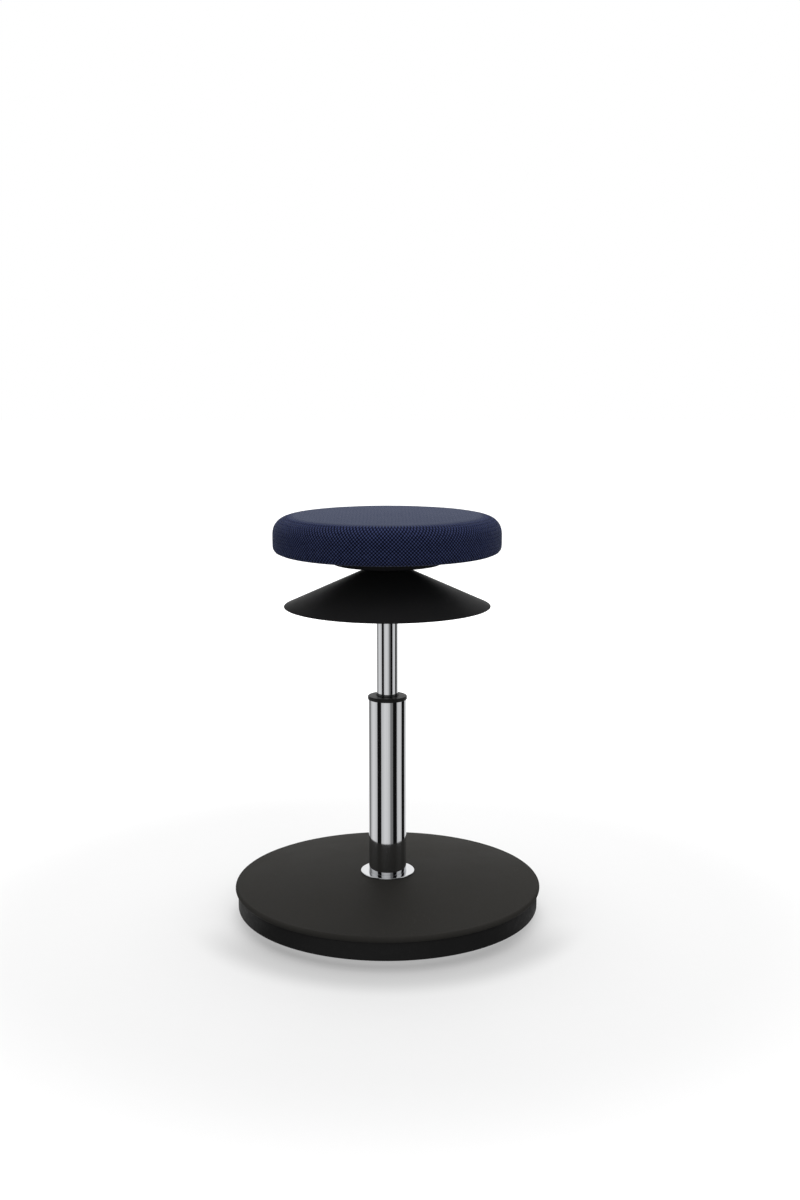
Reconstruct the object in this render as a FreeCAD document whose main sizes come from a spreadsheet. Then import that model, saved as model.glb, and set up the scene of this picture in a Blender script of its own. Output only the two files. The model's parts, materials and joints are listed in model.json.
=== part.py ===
import FreeCAD, Part
import math
import os
import re
import Sketcher

# A round wobble stool: a padded disc seat on a gas lift column, a release cone under the seat
# that frees the lift when its rim is pulled up, and a weighted base with a domed underside that
# rolls a few degrees to every side. The origin is the middle of the base, on the floor.
# X is to the right, Y goes to the back, Z is up, and the column stands on the Z axis.
# Every length is in millimetres, and a name ending in _z is a height above the floor.

SIZES = {
    # base
    "pad_rad": (65.0, "radius of the rubber pad under the base"),
    "pad_thick": (2.0, "thickness of the rubber pad"),
    "dome_rad": (1650.0, "radius of the ball that the underside is part of"),
    "shell_rad": (200.3, "outer radius of the rocker shell"),
    "shell_wall": (4.0, "side wall of the rocker shell"),
    "shell_floor": (5.0, "floor of the rocker shell"),
    "rim_z": (11.2, "where the dome would meet the side wall"),
    "rim_round": (3.0, "rounding between dome and side wall"),
    "joint_z": (35.3, "where the cover rests on the rocker shell"),
    "cover_rad": (203.8, "outer radius of the base cover"),
    "cover_lip": (7.7, "height of the cover's rounded edge"),
    "ring_seat": (37.0, "radius of the cover's flat middle, under the chrome ring"),
    "cover_wall": (4.0, "thickness of the cover"),
    "ballast_z": (12.0, "underside of the ballast disc"),
    "ballast_thick": (12.0, "thickness of the ballast disc"),
    "ballast_rad": (150.0, "radius of the ballast disc"),
    "hub_rad": (32.5, "radius of the column hub"),
    "hub_flange_rad": (62.0, "radius of the hub's flange"),
    "hub_flange": (6.0, "thickness of the hub's flange"),
    "hub_top_z": (50.0, "top of the column hub"),
    "hub_bolt_mid": (47.0, "hub bolts, from the axis"),
    "ballast_screw_mid": (123.0, "ballast screws, from the axis"),
    "shell_screw_mid": (178.0, "shell screws, from the axis"),
    "rest_half": (6.0, "half the width of the ballast's outer rest"),
    "rest_in": (60.0, "inner radius of the ballast's inner rest"),
    "rest_out": (66.0, "outer radius of the ballast's inner rest"),
    "rib_low_z": (15.0, "height of a shell rib at its inner end"),
    "rib_high_z": (29.0, "height of a shell rib at its outer end"),
    "rib_wide": (2.4, "thickness of a shell rib"),
    "shell_boss_rad": (7.5, "radius of a screw boss in the shell"),
    "shell_way_rad": (5.2, "radius of the way for a shell screw's head"),
    "shell_hole": (2.2, "radius of the hole for a shell screw"),
    "cover_boss_rad": (5.0, "radius of a screw boss under the base cover"),
    "cover_thread": (2.0, "radius of a shell screw and its thread"),
    "cover_thread_z": (35.0, "upper end of that thread"),
    # column
    "col_rad": (25.0, "outer radius of the column tube"),
    "col_bore": (23.0, "inner radius of the column tube"),
    "col_low_z": (10.0, "lower end of the column tube"),
    "col_top_z": (292.7, "upper end of the column tube"),
    "col_floor": (3.0, "thickness of the column tube's floor"),
    "taper_top_z": (54.0, "where the column's lower taper begins"),
    "taper_slope": (0.023, "inward lean of the lower taper"),
    "ring_rad": (35.9, "radius of the chrome ring on the base"),
    "ring_z": (55.0, "underside of the chrome ring"),
    "ring_thick": (2.0, "thickness of the chrome ring"),
    "bush_rad": (25.9, "radius of the guide bush's collar"),
    "bush_collar": (4.6, "height of the guide bush's collar"),
    "bush_low_z": (236.0, "lower end of the guide bush"),
    "washer_rad": (12.0, "outer radius of the bearing washers"),
    "washer_thick": (1.5, "thickness of a bearing washer"),
    "cage_half": (2.6, "half the width of the bearing cage"),
    # gas lift
    "rod_rad": (5.0, "radius of the piston rod"),
    "cyl_rad": (14.0, "outer radius of the gas cylinder"),
    "cyl_bore": (12.5, "inner radius of the gas cylinder"),
    "cyl_low_z": (190.0, "lower end of the gas cylinder, seat at its highest"),
    "cyl_top_z": (484.0, "upper end of the gas cylinder"),
    "cone_taper": (0.025, "inward lean of the cylinder's upper end"),
    "run_fit": (0.05, "gap of a running fit, on the radius"),
    "ball_rad": (2.0, "radius of a bearing ball"),
    "ball_mid": (8.8, "bearing balls, from the axis"),
    "piston_low_z": (221.0, "underside of the piston"),
    "piston_thick": (12.0, "height of the piston"),
    "piston_groove_rad": (10.6, "bottom of the piston's groove"),
    "rod_clip_rad": (8.5, "outer radius of the rod's clip"),
    "bumper_rad": (13.5, "radius of the rubber bumper's foot"),
    "bumper_neck": (10.5, "radius of the rubber bumper above its foot"),
    "bumper_tip": (9.0, "radius of the rubber bumper's upper end"),
    "bumper_high": (28.0, "height of the rubber bumper"),
    "crimp_rad": (8.0, "radius of the hole in the cylinder's crimped end"),
    "crimp_thick": (1.5, "thickness of the crimped end"),
    "seal_low": (22.0, "underside of the rod seal, above the cylinder's end"),
    "seal_thick": (7.5, "height of the rod seal"),
    "valve_low": (8.0, "how far the valve body reaches below the taper"),
    # release
    "rim_cone_rad": (135.05, "rim radius of the release cone"),
    "rim_cone_z": (417.5, "rim height of the release cone"),
    "lip_cone_rad": (28.0, "radius of the release cone's upper lip"),
    "lip_cone_z": (466.4, "height of the release cone's upper lip"),
    "cone_wall": (3.3, "upright thickness of the release cone"),
    "lug_mid": (24.5, "middle of a release lug, from the axis"),
    "lug_half": (2.5, "half the depth of a release lug"),
    "lug_wide": (6.0, "width of a release lug"),
    "lug_top_z": (493.3, "top of a release lug"),
    "pivot_mid": (12.0, "lever pins, from the axis"),
    "pivot_z": (496.0, "height of the lever pins"),
    "pin_rad": (1.5, "radius of a lever pin"),
    "lever_wide": (4.6, "width of a release lever"),
    "lever_low_z": (493.5, "underside of a release lever"),
    "nose_mid": (3.4, "middle of a lever's nose, from the axis"),
    "nose_rad": (1.6, "radius of a lever's nose"),
    "nose_z": (491.75, "height of the middle of a lever's nose"),
    "button_z": (490.0, "top of the valve button"),
    "button_rad": (5.5, "radius of the valve button"),
    "button_thick": (3.0, "thickness of the valve button"),
    "hub_sleeve": (21.9, "outer radius of the release cone's sleeve"),
    "hub_cone_rad": (44.0, "radius of the hub's flange under the cone"),
    "hub_cone_z": (458.0, "height at which that flange leaves the sleeve"),
    "hub_cone_wall": (2.5, "thickness of that flange at its rim"),
    "hub_fit": (0.1, "gap between the sleeve and the socket"),
    "wire_rad": (0.8, "radius of the return spring's wire"),
    # seat
    "socket_rad": (18.0, "outer radius of the taper socket"),
    "socket_low_z": (444.0, "lower end of the taper socket"),
    "plate_z": (485.6, "underside of the steel seat plate"),
    "plate_thick": (3.0, "thickness of the seat plate"),
    "under_rad": (72.5, "radius of the cover under the seat"),
    "under_z": (473.3, "underside of that cover"),
    "under_wall": (2.5, "wall of that cover"),
    "under_hole": (31.0, "radius of the hole in that cover"),
    "under_round": (3.0, "rounding of that cover's lower edge"),
    "under_boss_rad": (3.5, "radius of a screw boss in that cover"),
    "clip_reach": (3.0, "how far the socket's ring stands out"),
    "cloth": (1.5, "thickness of the seat's fabric"),
    "board_rad": (140.0, "radius of the seat board"),
    "board_thick": (12.0, "thickness of the seat board"),
    "board_hole": (36.0, "radius of the hole for the levers"),
    "liner_rad": (120.0, "radius of the liner under the seat"),
    "seat_rad": (148.8, "outer radius of the seat"),
    "seat_top_z": (536.5, "top of the seat"),
    "flat_rad": (117.0, "where the seat's flat top begins to fall"),
    "fall_rad": (63.0, "radius of the gentle first fall"),
    "fall_turn": (15.0, "degrees that the gentle fall turns"),
    "low_round": (7.6, "rounding of the seat's lower edge"),
    "seat_screw_mid": (50.0, "seat screws, from the axis"),
    "seat_screw_hole": (3.3, "radius of a hole for a seat screw"),
    "bracket_in": (7.5, "radius of the hole in the lever bracket"),
    "bracket_out": (33.0, "outer radius of the lever bracket"),
    "bracket_thick": (2.0, "thickness of the lever bracket"),
    "ear_reach": (3.0, "how far a bracket ear stands round its pin"),
    "under_screw_mid": (60.0, "screws of the cover under the seat, from the axis"),
}

HUB_BOLTS = 4
BALLAST_SCREWS = 3
SHELL_SCREWS = 6
SHELL_RIBS = 6
BEARING_BALLS = 10
SEAT_SCREWS = 4
UNDER_SCREWS = 3
LEVERS = 3
FIRST_LEVER_TURN = 90.0
SEAT_SCREW_TURN = 45.0
UNDER_SCREW_TURN = 30.0
THROUGH = "1200"
LUG_GAP = "0.6"
FORK_GAP = "0.6"
EAR_WIDE = "9.6"
HUB_SHANK = "4"
BALLAST_SHANK = "2.5"
SHELL_SEAT_Z = "13"
SHELL_BOSS_Z = "20"
UNDER_SHANK = "1.5"
UNDER_HEAD = "3"
SEAT_SHANK = "3"
TEE_BARREL = "4.5"
TEE_FLANGE = "9"
ROD_HOLE = "(rod_rad + run_fit * 2)"
VALVE_BORE = "2.6"
CONE_HUB_Z = "446.3"
UP = FreeCAD.Vector(0, 0, 1)

doc = FreeCAD.newDocument("wobble_stool")
dims = doc.addObject("Spreadsheet::Sheet", "dims")
for row, (alias, (value, meaning)) in enumerate(SIZES.items(), start=1):
    dims.set(f"A{row}", meaning)
    dims.set(f"B{row}", str(value))
    dims.setAlias(f"B{row}", alias)
doc.recompute()

# Derived heights and lines, as formulas of the sheet
DOME_MID_Z = "(rim_z + sqrt(dome_rad^2 - shell_rad^2))"
INNER_DOME = "(dome_rad - shell_floor)"
COVER_EDGE = "(cover_rad - cover_lip / 2)"
COVER_EDGE_Z = "(joint_z + cover_lip)"
COVER_MID_Z = (f"((ring_seat^2 + ring_z^2 - {COVER_EDGE}^2 - {COVER_EDGE_Z}^2)"
               f" / (2 * (ring_z - {COVER_EDGE_Z})))")
COVER_DOME = f"sqrt(ring_seat^2 + (ring_z - {COVER_MID_Z})^2)"
INNER_COVER = f"({COVER_DOME} - cover_wall)"
BALLAST_TOP = "(ballast_z + ballast_thick)"
FLANGE_TOP = f"({BALLAST_TOP} + hub_flange)"
WASHER_LOW = "(col_low_z + col_floor)"
BALL_Z = f"({WASHER_LOW} + washer_thick + ball_rad)"
BUMPER_Z = f"({BALL_Z} + ball_rad + washer_thick)"
PLATE_TOP = "(plate_z + plate_thick)"
BOARD_Z = f"({PLATE_TOP} + cloth)"
BOARD_TOP = f"({BOARD_Z} + board_thick)"
LUG_ROUND_Z = "(lug_top_z - lug_half)"
BRACKET_TOP = f"({PLATE_TOP} + bracket_thick)"
TEE_FLANGE_Z = f"({BOARD_TOP} - 1.2)"
UNDER_SEAT_Z = "(under_z + 1.8)"
CONE_SLOPE = "((lip_cone_z - rim_cone_z) / (rim_cone_rad - lip_cone_rad))"


def on_dome(radius, ball=INNER_DOME):
    """Height of a domed face under the base, at a radius."""
    return f"({DOME_MID_Z} - sqrt({ball}^2 - ({radius})^2))"


def on_cover(radius, ball):
    """Height of a domed face of the base cover, at a radius."""
    return f"({COVER_MID_Z} + sqrt({ball}^2 - ({radius})^2))"


def in_taper(height):
    """Outer radius of the column tube's tapered lower end, at a height."""
    return f"(col_rad - (taper_top_z - ({height})) * taper_slope)"


def in_cone(height, straight="cyl_rad"):
    """Radius of the gas cylinder's tapered upper end, at a height."""
    return f"({straight} - (({height}) - socket_low_z) * cone_taper)"


def under_cone(radius):
    """Height of the release cone's inner face, at a radius."""
    return f"(lip_cone_z - cone_wall - (({radius}) - lip_cone_rad) * {CONE_SLOPE})"


def bound(formula):
    """The same formula, reading its names from the sheet."""
    return re.sub(r"[a-z]+(?:_[a-z]+)+|cloth", lambda word: "dims." + word.group(), str(formula))


def size(formula):
    """What a formula comes to."""
    return float(dims.evalExpression(str(formula)))


def origin_part(body, role):
    """One of a body's own planes or axes."""
    return next(part for part in body.Origin.OriginFeatures if part.Role == role)


def new_sketch(body, name, plane, shift=None, turn=0.0):
    """A sketch on a plane of its body, moved along that plane or off it, or turned about Z."""
    sketch = body.newObject("Sketcher::SketchObject", name)
    sketch.AttachmentSupport = [(origin_part(body, plane), "")]
    sketch.MapMode = "FlatFace"
    about = UP if plane == "XY_Plane" else FreeCAD.Vector(0, 1, 0)
    sketch.AttachmentOffset = FreeCAD.Placement(FreeCAD.Vector(), FreeCAD.Rotation(about, turn))
    for direction, formula in (shift or {}).items():
        sketch.setExpression(f"AttachmentOffset.Base.{direction}", bound(formula))
    return sketch


def place(sketch, edge, end, x, y):
    """Hold one point of a sketch at a place given by formulas, either of them None if free."""
    for kind, axis, formula in (("DistanceX", -2, x), ("DistanceY", -1, y)):
        if formula is None:
            continue
        if size(formula) == 0:
            sketch.addConstraint(Sketcher.Constraint("PointOnObject", edge, end, axis))
            continue
        index = sketch.addConstraint(Sketcher.Constraint(kind, edge, end, size(formula)))
        sketch.setExpression(f"Constraints[{index}]", bound(formula))


def draw(sketch, steps):
    """Close an outline. A step is where a line ends, or where an arc ends, its middle and turn."""
    first = last = None
    start = steps[0]
    for step in steps[1:] + [steps[0][:2]]:
        closing = step == steps[0][:2]
        here = FreeCAD.Vector(size(start[0]), size(start[1]), 0)
        there = FreeCAD.Vector(size(step[0]), size(step[1]), 0)
        begin, finish = 1, 2
        if len(step) == 2:
            edge = sketch.addGeometry(Part.LineSegment(here, there), False)
        else:
            middle = FreeCAD.Vector(size(step[2]), size(step[3]), 0)
            turns = [math.atan2((end - middle).y, (end - middle).x) for end in (here, there)]
            if step[4] == "right":
                turns.reverse()
                begin, finish = 2, 1
            full = Part.Circle(middle, UP, (here - middle).Length)
            edge = sketch.addGeometry(Part.ArcOfCircle(full, *turns), False)
            place(sketch, edge, 3, step[2], step[3])
        if first is None:
            first = (edge, begin)
            place(sketch, edge, begin, start[0], start[1])
        else:
            sketch.addConstraint(Sketcher.Constraint("Coincident", edge, begin, *last))
        if closing:
            sketch.addConstraint(Sketcher.Constraint("Coincident", edge, finish, *first))
        elif len(step) == 2:
            place(sketch, edge, finish, step[0], step[1])
        else:
            across = abs((there - middle).x) > abs((there - middle).y)
            place(sketch, edge, finish, None if across else step[0], step[1] if across else None)
        last = (edge, finish)
        start = step


def circle(sketch, x, y, radius):
    """A full circle in a sketch."""
    middle = FreeCAD.Vector(size(x), size(y), 0)
    edge = sketch.addGeometry(Part.Circle(middle, UP, size(radius)), False)
    place(sketch, edge, 3, x, y)
    index = sketch.addConstraint(Sketcher.Constraint("Radius", edge, size(radius)))
    sketch.setExpression(f"Constraints[{index}]", bound(radius))


def box_outline(low_x, low_y, high_x, high_y):
    """The four corners of an upright rectangle."""
    return [(low_x, low_y), (high_x, low_y), (high_x, high_y), (low_x, high_y)]


def new_body(label, turn=0.0):
    """An empty piece, turned about the Z axis."""
    body = doc.addObject("PartDesign::Body", label)
    body.Label = label
    body.Placement = FreeCAD.Placement(FreeCAD.Vector(), FreeCAD.Rotation(UP, turn))
    return body


def revolve(body, name, steps, off_axis=None, kind="Revolution"):
    """Turn an outline round the Z axis, or round an upright line beside it."""
    sketch = new_sketch(body, name + "_outline", "XZ_Plane", off_axis and {"x": off_axis})
    draw(sketch, steps)
    turned = body.newObject("PartDesign::" + kind, name)
    turned.Profile = sketch
    turned.ReferenceAxis = (sketch, ["V_Axis"])
    turned.Angle = 360
    body.Tip = turned
    return turned


def turned_piece(label, steps, turn=0.0):
    """A round piece."""
    body = new_body(label, turn)
    revolve(body, label + "_turned", steps)
    return body


def slab(body, name, plan, thick, kind="Pad", plane="XZ_Plane", shift=None, turn=0.0):
    """Add or cut a slab that lies evenly on both sides of a sketch, which plan draws."""
    sketch = new_sketch(body, name + "_plan", plane, shift, turn)
    plan(sketch)
    feature = body.newObject("PartDesign::" + kind, name)
    feature.Profile = sketch
    feature.SideType = "Symmetric"
    feature.Length = size(thick)
    feature.setExpression("Length", bound(thick))
    body.Tip = feature
    return feature


def repeat(body, name, features, count):
    """Repeat features evenly round the Z axis."""
    pattern = body.newObject("PartDesign::PolarPattern", name)
    pattern.Originals = features
    pattern.Axis = (origin_part(body, "Z_Axis"), [""])
    pattern.Angle = 360
    pattern.Occurrences = count
    body.Tip = pattern
    return pattern


def drill_ring(body, name, mid, radius, count, turn=0.0):
    """A ring of round holes, straight through a flat piece."""
    hole = slab(body, name, lambda plan: circle(plan, mid, "0", radius), THROUGH, "Pocket",
                "XY_Plane", turn=turn)
    repeat(body, name + "_ring", [hole], count)


def cut_lug_slots(body, name, turn=0.0):
    """The slots that the release lugs pass through."""
    low, high = f"lug_mid - lug_half - {LUG_GAP}", f"lug_mid + lug_half + {LUG_GAP}"
    half = f"lug_wide / 2 + {LUG_GAP}"
    slot = slab(body, name, lambda plan: draw(plan, box_outline(low, f"-({half})", high, half)),
                THROUGH, "Pocket", "XY_Plane", turn=turn)
    repeat(body, name + "_ring", [slot], LEVERS)


def soften(body, name, radius, places):
    """Round the circular edges that lie at the given radii and heights."""
    base = body.Tip
    doc.recompute()
    edges = []
    for index, edge in enumerate(base.Shape.Edges, start=1):
        box = edge.BoundBox
        for rad, height in places:
            level = abs(box.ZMin - size(height)) < 0.01 and box.ZLength < 0.01
            if level and abs(box.XMax - size(rad)) < 0.01:
                edges.append(f"Edge{index}")
    if len(edges) != len(places):
        raise RuntimeError(f"{body.Label}: found {len(edges)} of {len(places)} edges to round")
    fillet = body.newObject("PartDesign::Fillet", name)
    fillet.Base = (base, edges)
    fillet.Radius = size(radius)
    fillet.setExpression("Radius", bound(radius))
    body.Tip = fillet


def upright_ring(label, steps, off_axis, count, turn=0.0):
    """A ring of equal turned pieces that stand upright."""
    body = new_body(label, turn)
    one = revolve(body, label + "_one", steps, off_axis)
    repeat(body, label + "_ring", [one], count)
    return body


def pan_screw(head_rad, head_thick, shank_rad, seat_z, tip_z, side):
    """Outline of a screw. Its head lies on seat_z, above it if side is 1, below it if -1."""
    outer_z = f"({seat_z}) + ({side}) * ({head_thick})"
    recess_z = f"({seat_z}) + ({side}) * ({head_thick}) / 2"
    return [
        ("0", recess_z),
        (f"({head_rad}) / 2", recess_z),
        (f"({head_rad}) / 2", outer_z),
        (head_rad, outer_z),
        (head_rad, seat_z),
        (shank_rad, seat_z),
        (shank_rad, tip_z),
        ("0", tip_z),
    ]


def make_floor_pad():
    """Rubber disc that the stool stands on, flat where the dome would be round."""
    groove, corner = "0.6", "0.4"
    steps = [("0", "0")]
    for low, high in (("28", "31"), ("46", "49")):
        steps += [(low, "0"), (low, groove), (high, groove), (high, "0")]
    steps += [
        (f"pad_rad - {corner}", "0"),
        ("pad_rad", corner),
        ("pad_rad", "pad_thick"),
        ("0", "pad_thick"),
    ]
    return turned_piece("floor_pad", steps)


def make_rocker_shell():
    """Lower housing, domed underneath, with rests for the ballast, ribs and screw bosses."""
    body = new_body("rocker_shell")
    inner = "(shell_rad - shell_wall)"
    steps = [
        ("0", "pad_thick"),
        ("pad_rad", "pad_thick"),
        ("pad_rad", on_dome("pad_rad", "dome_rad")),
        ("shell_rad", "rim_z", "0", DOME_MID_Z, "left"),
        ("shell_rad", "joint_z"),
        (inner, "joint_z"),
        (inner, on_dome(inner)),
    ]
    for low, high in (("(ballast_screw_mid - rest_half)", "(ballast_screw_mid + rest_half)"),
                      ("rest_in", "rest_out")):
        steps += [
            (high, on_dome(high), "0", DOME_MID_Z, "right"),
            (high, "ballast_z"),
            (low, "ballast_z"),
            (low, on_dome(low)),
        ]
    steps.append(("0", on_dome("0"), "0", DOME_MID_Z, "right"))
    revolve(body, "shell_turned", steps)
    soften(body, "rim_rounding", "rim_round", [("shell_rad", "rim_z")])
    low, high = "(ballast_rad + 6)", "(shell_rad - 2)"
    buried = "(dome_rad - 2)"
    side = [(low, on_dome(low, buried)), (high, on_dome(high, buried)), (high, "rib_high_z"),
            (low, "rib_low_z")]
    rib = slab(body, "rib", lambda plan: draw(plan, side), "rib_wide", turn=30.0)
    repeat(body, "ribs", [rib], SHELL_RIBS)
    boss = revolve(body, "boss", box_outline("0", on_dome("shell_screw_mid", buried),
                   "shell_boss_rad", SHELL_BOSS_Z), "shell_screw_mid")
    repeat(body, "bosses", [boss], SHELL_SCREWS)
    way = revolve(body, "screw_way", [
        ("0", "4"),
        ("shell_way_rad", "4"),
        ("shell_way_rad", SHELL_SEAT_Z),
        ("shell_hole", SHELL_SEAT_Z),
        ("shell_hole", f"{SHELL_BOSS_Z} + 1"),
        ("0", f"{SHELL_BOSS_Z} + 1"),
    ], "shell_screw_mid", "Groove")
    repeat(body, "screw_ways", [way], SHELL_SCREWS)
    blind = revolve(body, "ballast_thread", box_outline("0", "7", BALLAST_SHANK, "ballast_z + 1"),
                    "ballast_screw_mid", "Groove")
    repeat(body, "ballast_threads", [blind], BALLAST_SCREWS)
    return body


def make_ballast_disc():
    """Heavy iron disc that keeps the stool upright."""
    body = turned_piece("ballast_disc", box_outline("hub_rad + 0.5", "ballast_z", "ballast_rad",
                                                    BALLAST_TOP))
    drill_ring(body, "screw_hole", "ballast_screw_mid", f"{BALLAST_SHANK} + 0.3", BALLAST_SCREWS)
    drill_ring(body, "bolt_hole", "hub_bolt_mid", HUB_SHANK, HUB_BOLTS, turn=45.0)
    return body


def make_ballast_screws():
    """Screws that hold the ballast down on the rocker shell."""
    steps = pan_screw("5", "3", BALLAST_SHANK, BALLAST_TOP, "7.5", 1)
    return upright_ring("ballast_screws", steps, "ballast_screw_mid", BALLAST_SCREWS)


def make_column_hub():
    """Steel hub with the tapered seat that the column tube is pressed into."""
    body = turned_piece("column_hub", [
        (in_taper("col_low_z"), "col_low_z"),
        ("hub_rad", "col_low_z"),
        ("hub_rad", BALLAST_TOP),
        ("hub_flange_rad", BALLAST_TOP),
        ("hub_flange_rad", FLANGE_TOP),
        ("hub_rad", FLANGE_TOP),
        ("hub_rad", "hub_top_z"),
        (in_taper("hub_top_z"), "hub_top_z"),
    ])
    drill_ring(body, "bolt_hole", "hub_bolt_mid", f"{HUB_SHANK} + 0.2", HUB_BOLTS, turn=45.0)
    return body


def make_hub_bolts():
    """Bolts through the hub's flange into the ballast disc."""
    steps = pan_screw("6.5", "5", HUB_SHANK, FLANGE_TOP, "ballast_z + 1", 1)
    return upright_ring("hub_bolts", steps, "hub_bolt_mid", HUB_BOLTS, turn=45.0)


def make_base_cover():
    """Gently domed top of the base, with a full round edge and a lip inside the shell."""
    body = new_body("base_cover")
    hole = "(col_rad + 1)"
    edge_z = "(joint_z + cover_lip / 2)"
    lip = "(shell_rad - shell_wall - 0.5)"
    lip_in = f"({lip} - 3)"
    revolve(body, "cover_turned", [
        (hole, on_cover("ring_seat", INNER_COVER)),
        ("ring_seat", on_cover("ring_seat", INNER_COVER)),
        (lip_in, on_cover(lip_in, INNER_COVER), "0", COVER_MID_Z, "right"),
        (lip_in, "joint_z - 4"),
        (lip, "joint_z - 4"),
        (lip, "joint_z"),
        (COVER_EDGE, "joint_z"),
        ("cover_rad", edge_z, COVER_EDGE, edge_z, "left"),
        (COVER_EDGE, COVER_EDGE_Z, COVER_EDGE, edge_z, "left"),
        ("ring_seat", "ring_z", "0", COVER_MID_Z, "left"),
        (hole, "ring_z"),
    ])
    boss = revolve(body, "boss", box_outline("0", SHELL_BOSS_Z, "cover_boss_rad",
                   on_cover("shell_screw_mid", f"({COVER_DOME} - 1)")), "shell_screw_mid")
    repeat(body, "bosses", [boss], SHELL_SCREWS)
    thread = revolve(body, "thread", box_outline("0", f"{SHELL_BOSS_Z} - 1", "cover_thread",
                     "cover_thread_z"), "shell_screw_mid", "Groove")
    repeat(body, "threads", [thread], SHELL_SCREWS)
    return body


def make_shell_screws():
    """Screws from below that draw the cover down on the rocker shell."""
    steps = pan_screw("4.6", "2.8", "cover_thread", SHELL_SEAT_Z, "cover_thread_z - 2", -1)
    return upright_ring("shell_screws", steps, "shell_screw_mid", SHELL_SCREWS)


def make_column_ring():
    """Bright trim ring where the column leaves the base cover."""
    ring_top = "(ring_z + ring_thick)"
    soft = "0.8"
    return turned_piece("column_ring", [
        ("col_rad", "ring_z"),
        ("ring_rad", "ring_z"),
        ("ring_rad", f"{ring_top} - {soft}"),
        (f"ring_rad - {soft}", ring_top, f"ring_rad - {soft}", f"{ring_top} - {soft}", "left"),
        ("col_rad", ring_top),
    ])


def make_column_tube():
    """Outer tube of the lift, tapered below, with a floor that carries the piston rod."""
    wall = "(col_rad - col_bore)"
    floor_rad = f"({in_taper(WASHER_LOW)} - {wall})"
    return turned_piece("column_tube", [
        (ROD_HOLE, "col_low_z"),
        (in_taper("col_low_z"), "col_low_z"),
        ("col_rad", "taper_top_z"),
        ("col_rad", "col_top_z"),
        ("col_bore", "col_top_z"),
        ("col_bore", "taper_top_z"),
        (floor_rad, WASHER_LOW),
        (ROD_HOLE, WASHER_LOW),
    ])


def make_guide_bush():
    """Black plastic guide in the tube's mouth, with the collar that shows above it."""
    collar_z = "(col_top_z + bush_collar)"
    soft = "1.2"
    return turned_piece("guide_bush", [
        ("cyl_rad + run_fit", "bush_low_z"),
        ("col_bore", "bush_low_z"),
        ("col_bore", "col_top_z"),
        ("bush_rad", "col_top_z"),
        ("bush_rad", f"{collar_z} - {soft}"),
        (f"bush_rad - {soft}", collar_z, f"bush_rad - {soft}", f"{collar_z} - {soft}", "left"),
        ("cyl_rad + run_fit", collar_z),
    ])


def make_bearing():
    """Thrust bearing under the piston rod: two washers, a cage and its balls."""
    gap, outer = "run_fit", "washer_rad"
    lower = turned_piece("lower_bearing_washer",
                         box_outline(ROD_HOLE, WASHER_LOW, outer,
                                     f"{WASHER_LOW} + washer_thick - {gap}"))
    upper = turned_piece("upper_bearing_washer",
                         box_outline("rod_rad", f"{BALL_Z} + ball_rad + {gap}", outer, BUMPER_Z))
    cage = turned_piece("bearing_cage", box_outline("ball_mid - cage_half", f"{BALL_Z} - 1",
                                                    "ball_mid + cage_half", f"{BALL_Z} + 1"))
    drill_ring(cage, "pocket", "ball_mid", "ball_rad + 0.1", BEARING_BALLS)
    half = [("0", f"{BALL_Z} - ball_rad"), ("0", f"{BALL_Z} + ball_rad", "0", BALL_Z, "left")]
    balls = upright_ring("bearing_balls", half, "ball_mid", BEARING_BALLS)
    return [lower, upper, cage, balls]


def make_rod_parts():
    """Piston rod with its clip, rubber bumper, piston and piston ring."""
    piston_top = "(piston_low_z + piston_thick)"
    groove_low, groove_high = "(piston_low_z + piston_thick / 3)", "(piston_low_z + piston_thick * 2 / 3)"
    groove_rad = "piston_groove_rad"
    face = "(cyl_bore - run_fit)"
    rod_low, rod_end, soft = "(col_low_z - 3.5)", f"({piston_top} + 3)", "0.8"
    rod = turned_piece("piston_rod", [
        ("0", rod_low),
        (f"rod_rad - {soft}", rod_low),
        ("rod_rad", f"{rod_low} + {soft}"),
        ("rod_rad", f"{rod_end} - {soft}"),
        (f"rod_rad - {soft}", rod_end),
        ("0", rod_end),
    ])
    clip = turned_piece("rod_clip", box_outline("rod_rad", "col_low_z - 2.1", "rod_clip_rad",
                                                "col_low_z - 0.1"))
    bumper_top = f"({BUMPER_Z} + bumper_high)"
    bumper = turned_piece("bump_stop", [
        ("rod_rad", BUMPER_Z),
        ("bumper_rad", BUMPER_Z),
        ("bumper_rad", f"{BUMPER_Z} + 12"),
        ("bumper_neck", f"{BUMPER_Z} + 16"),
        ("bumper_neck", f"{bumper_top} - 4"),
        ("bumper_tip", bumper_top),
        ("rod_rad", bumper_top),
    ])
    piston = turned_piece("piston", [
        ("rod_rad", "piston_low_z"),
        (face, "piston_low_z"),
        (face, groove_low),
        (groove_rad, groove_low),
        (groove_rad, groove_high),
        (face, groove_high),
        (face, piston_top),
        ("rod_rad", piston_top),
    ])
    ring = turned_piece("piston_ring", box_outline(groove_rad, groove_low, face, groove_high))
    return [rod, clip, bumper, piston, ring]


def make_gas_cylinder():
    """Bright cylinder that carries the seat, crimped below and tapered above."""
    crimp_z, soft = "(cyl_low_z + crimp_thick)", "0.8"
    return turned_piece("gas_cylinder", [
        ("crimp_rad", "cyl_low_z"),
        (f"cyl_rad - {soft}", "cyl_low_z"),
        ("cyl_rad", f"cyl_low_z + {soft}"),
        ("cyl_rad", "socket_low_z"),
        (in_cone("cyl_top_z"), "cyl_top_z"),
        (in_cone("cyl_top_z", "cyl_bore"), "cyl_top_z"),
        ("cyl_bore", "socket_low_z"),
        ("cyl_bore", crimp_z),
        ("crimp_rad", crimp_z),
    ])


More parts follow.
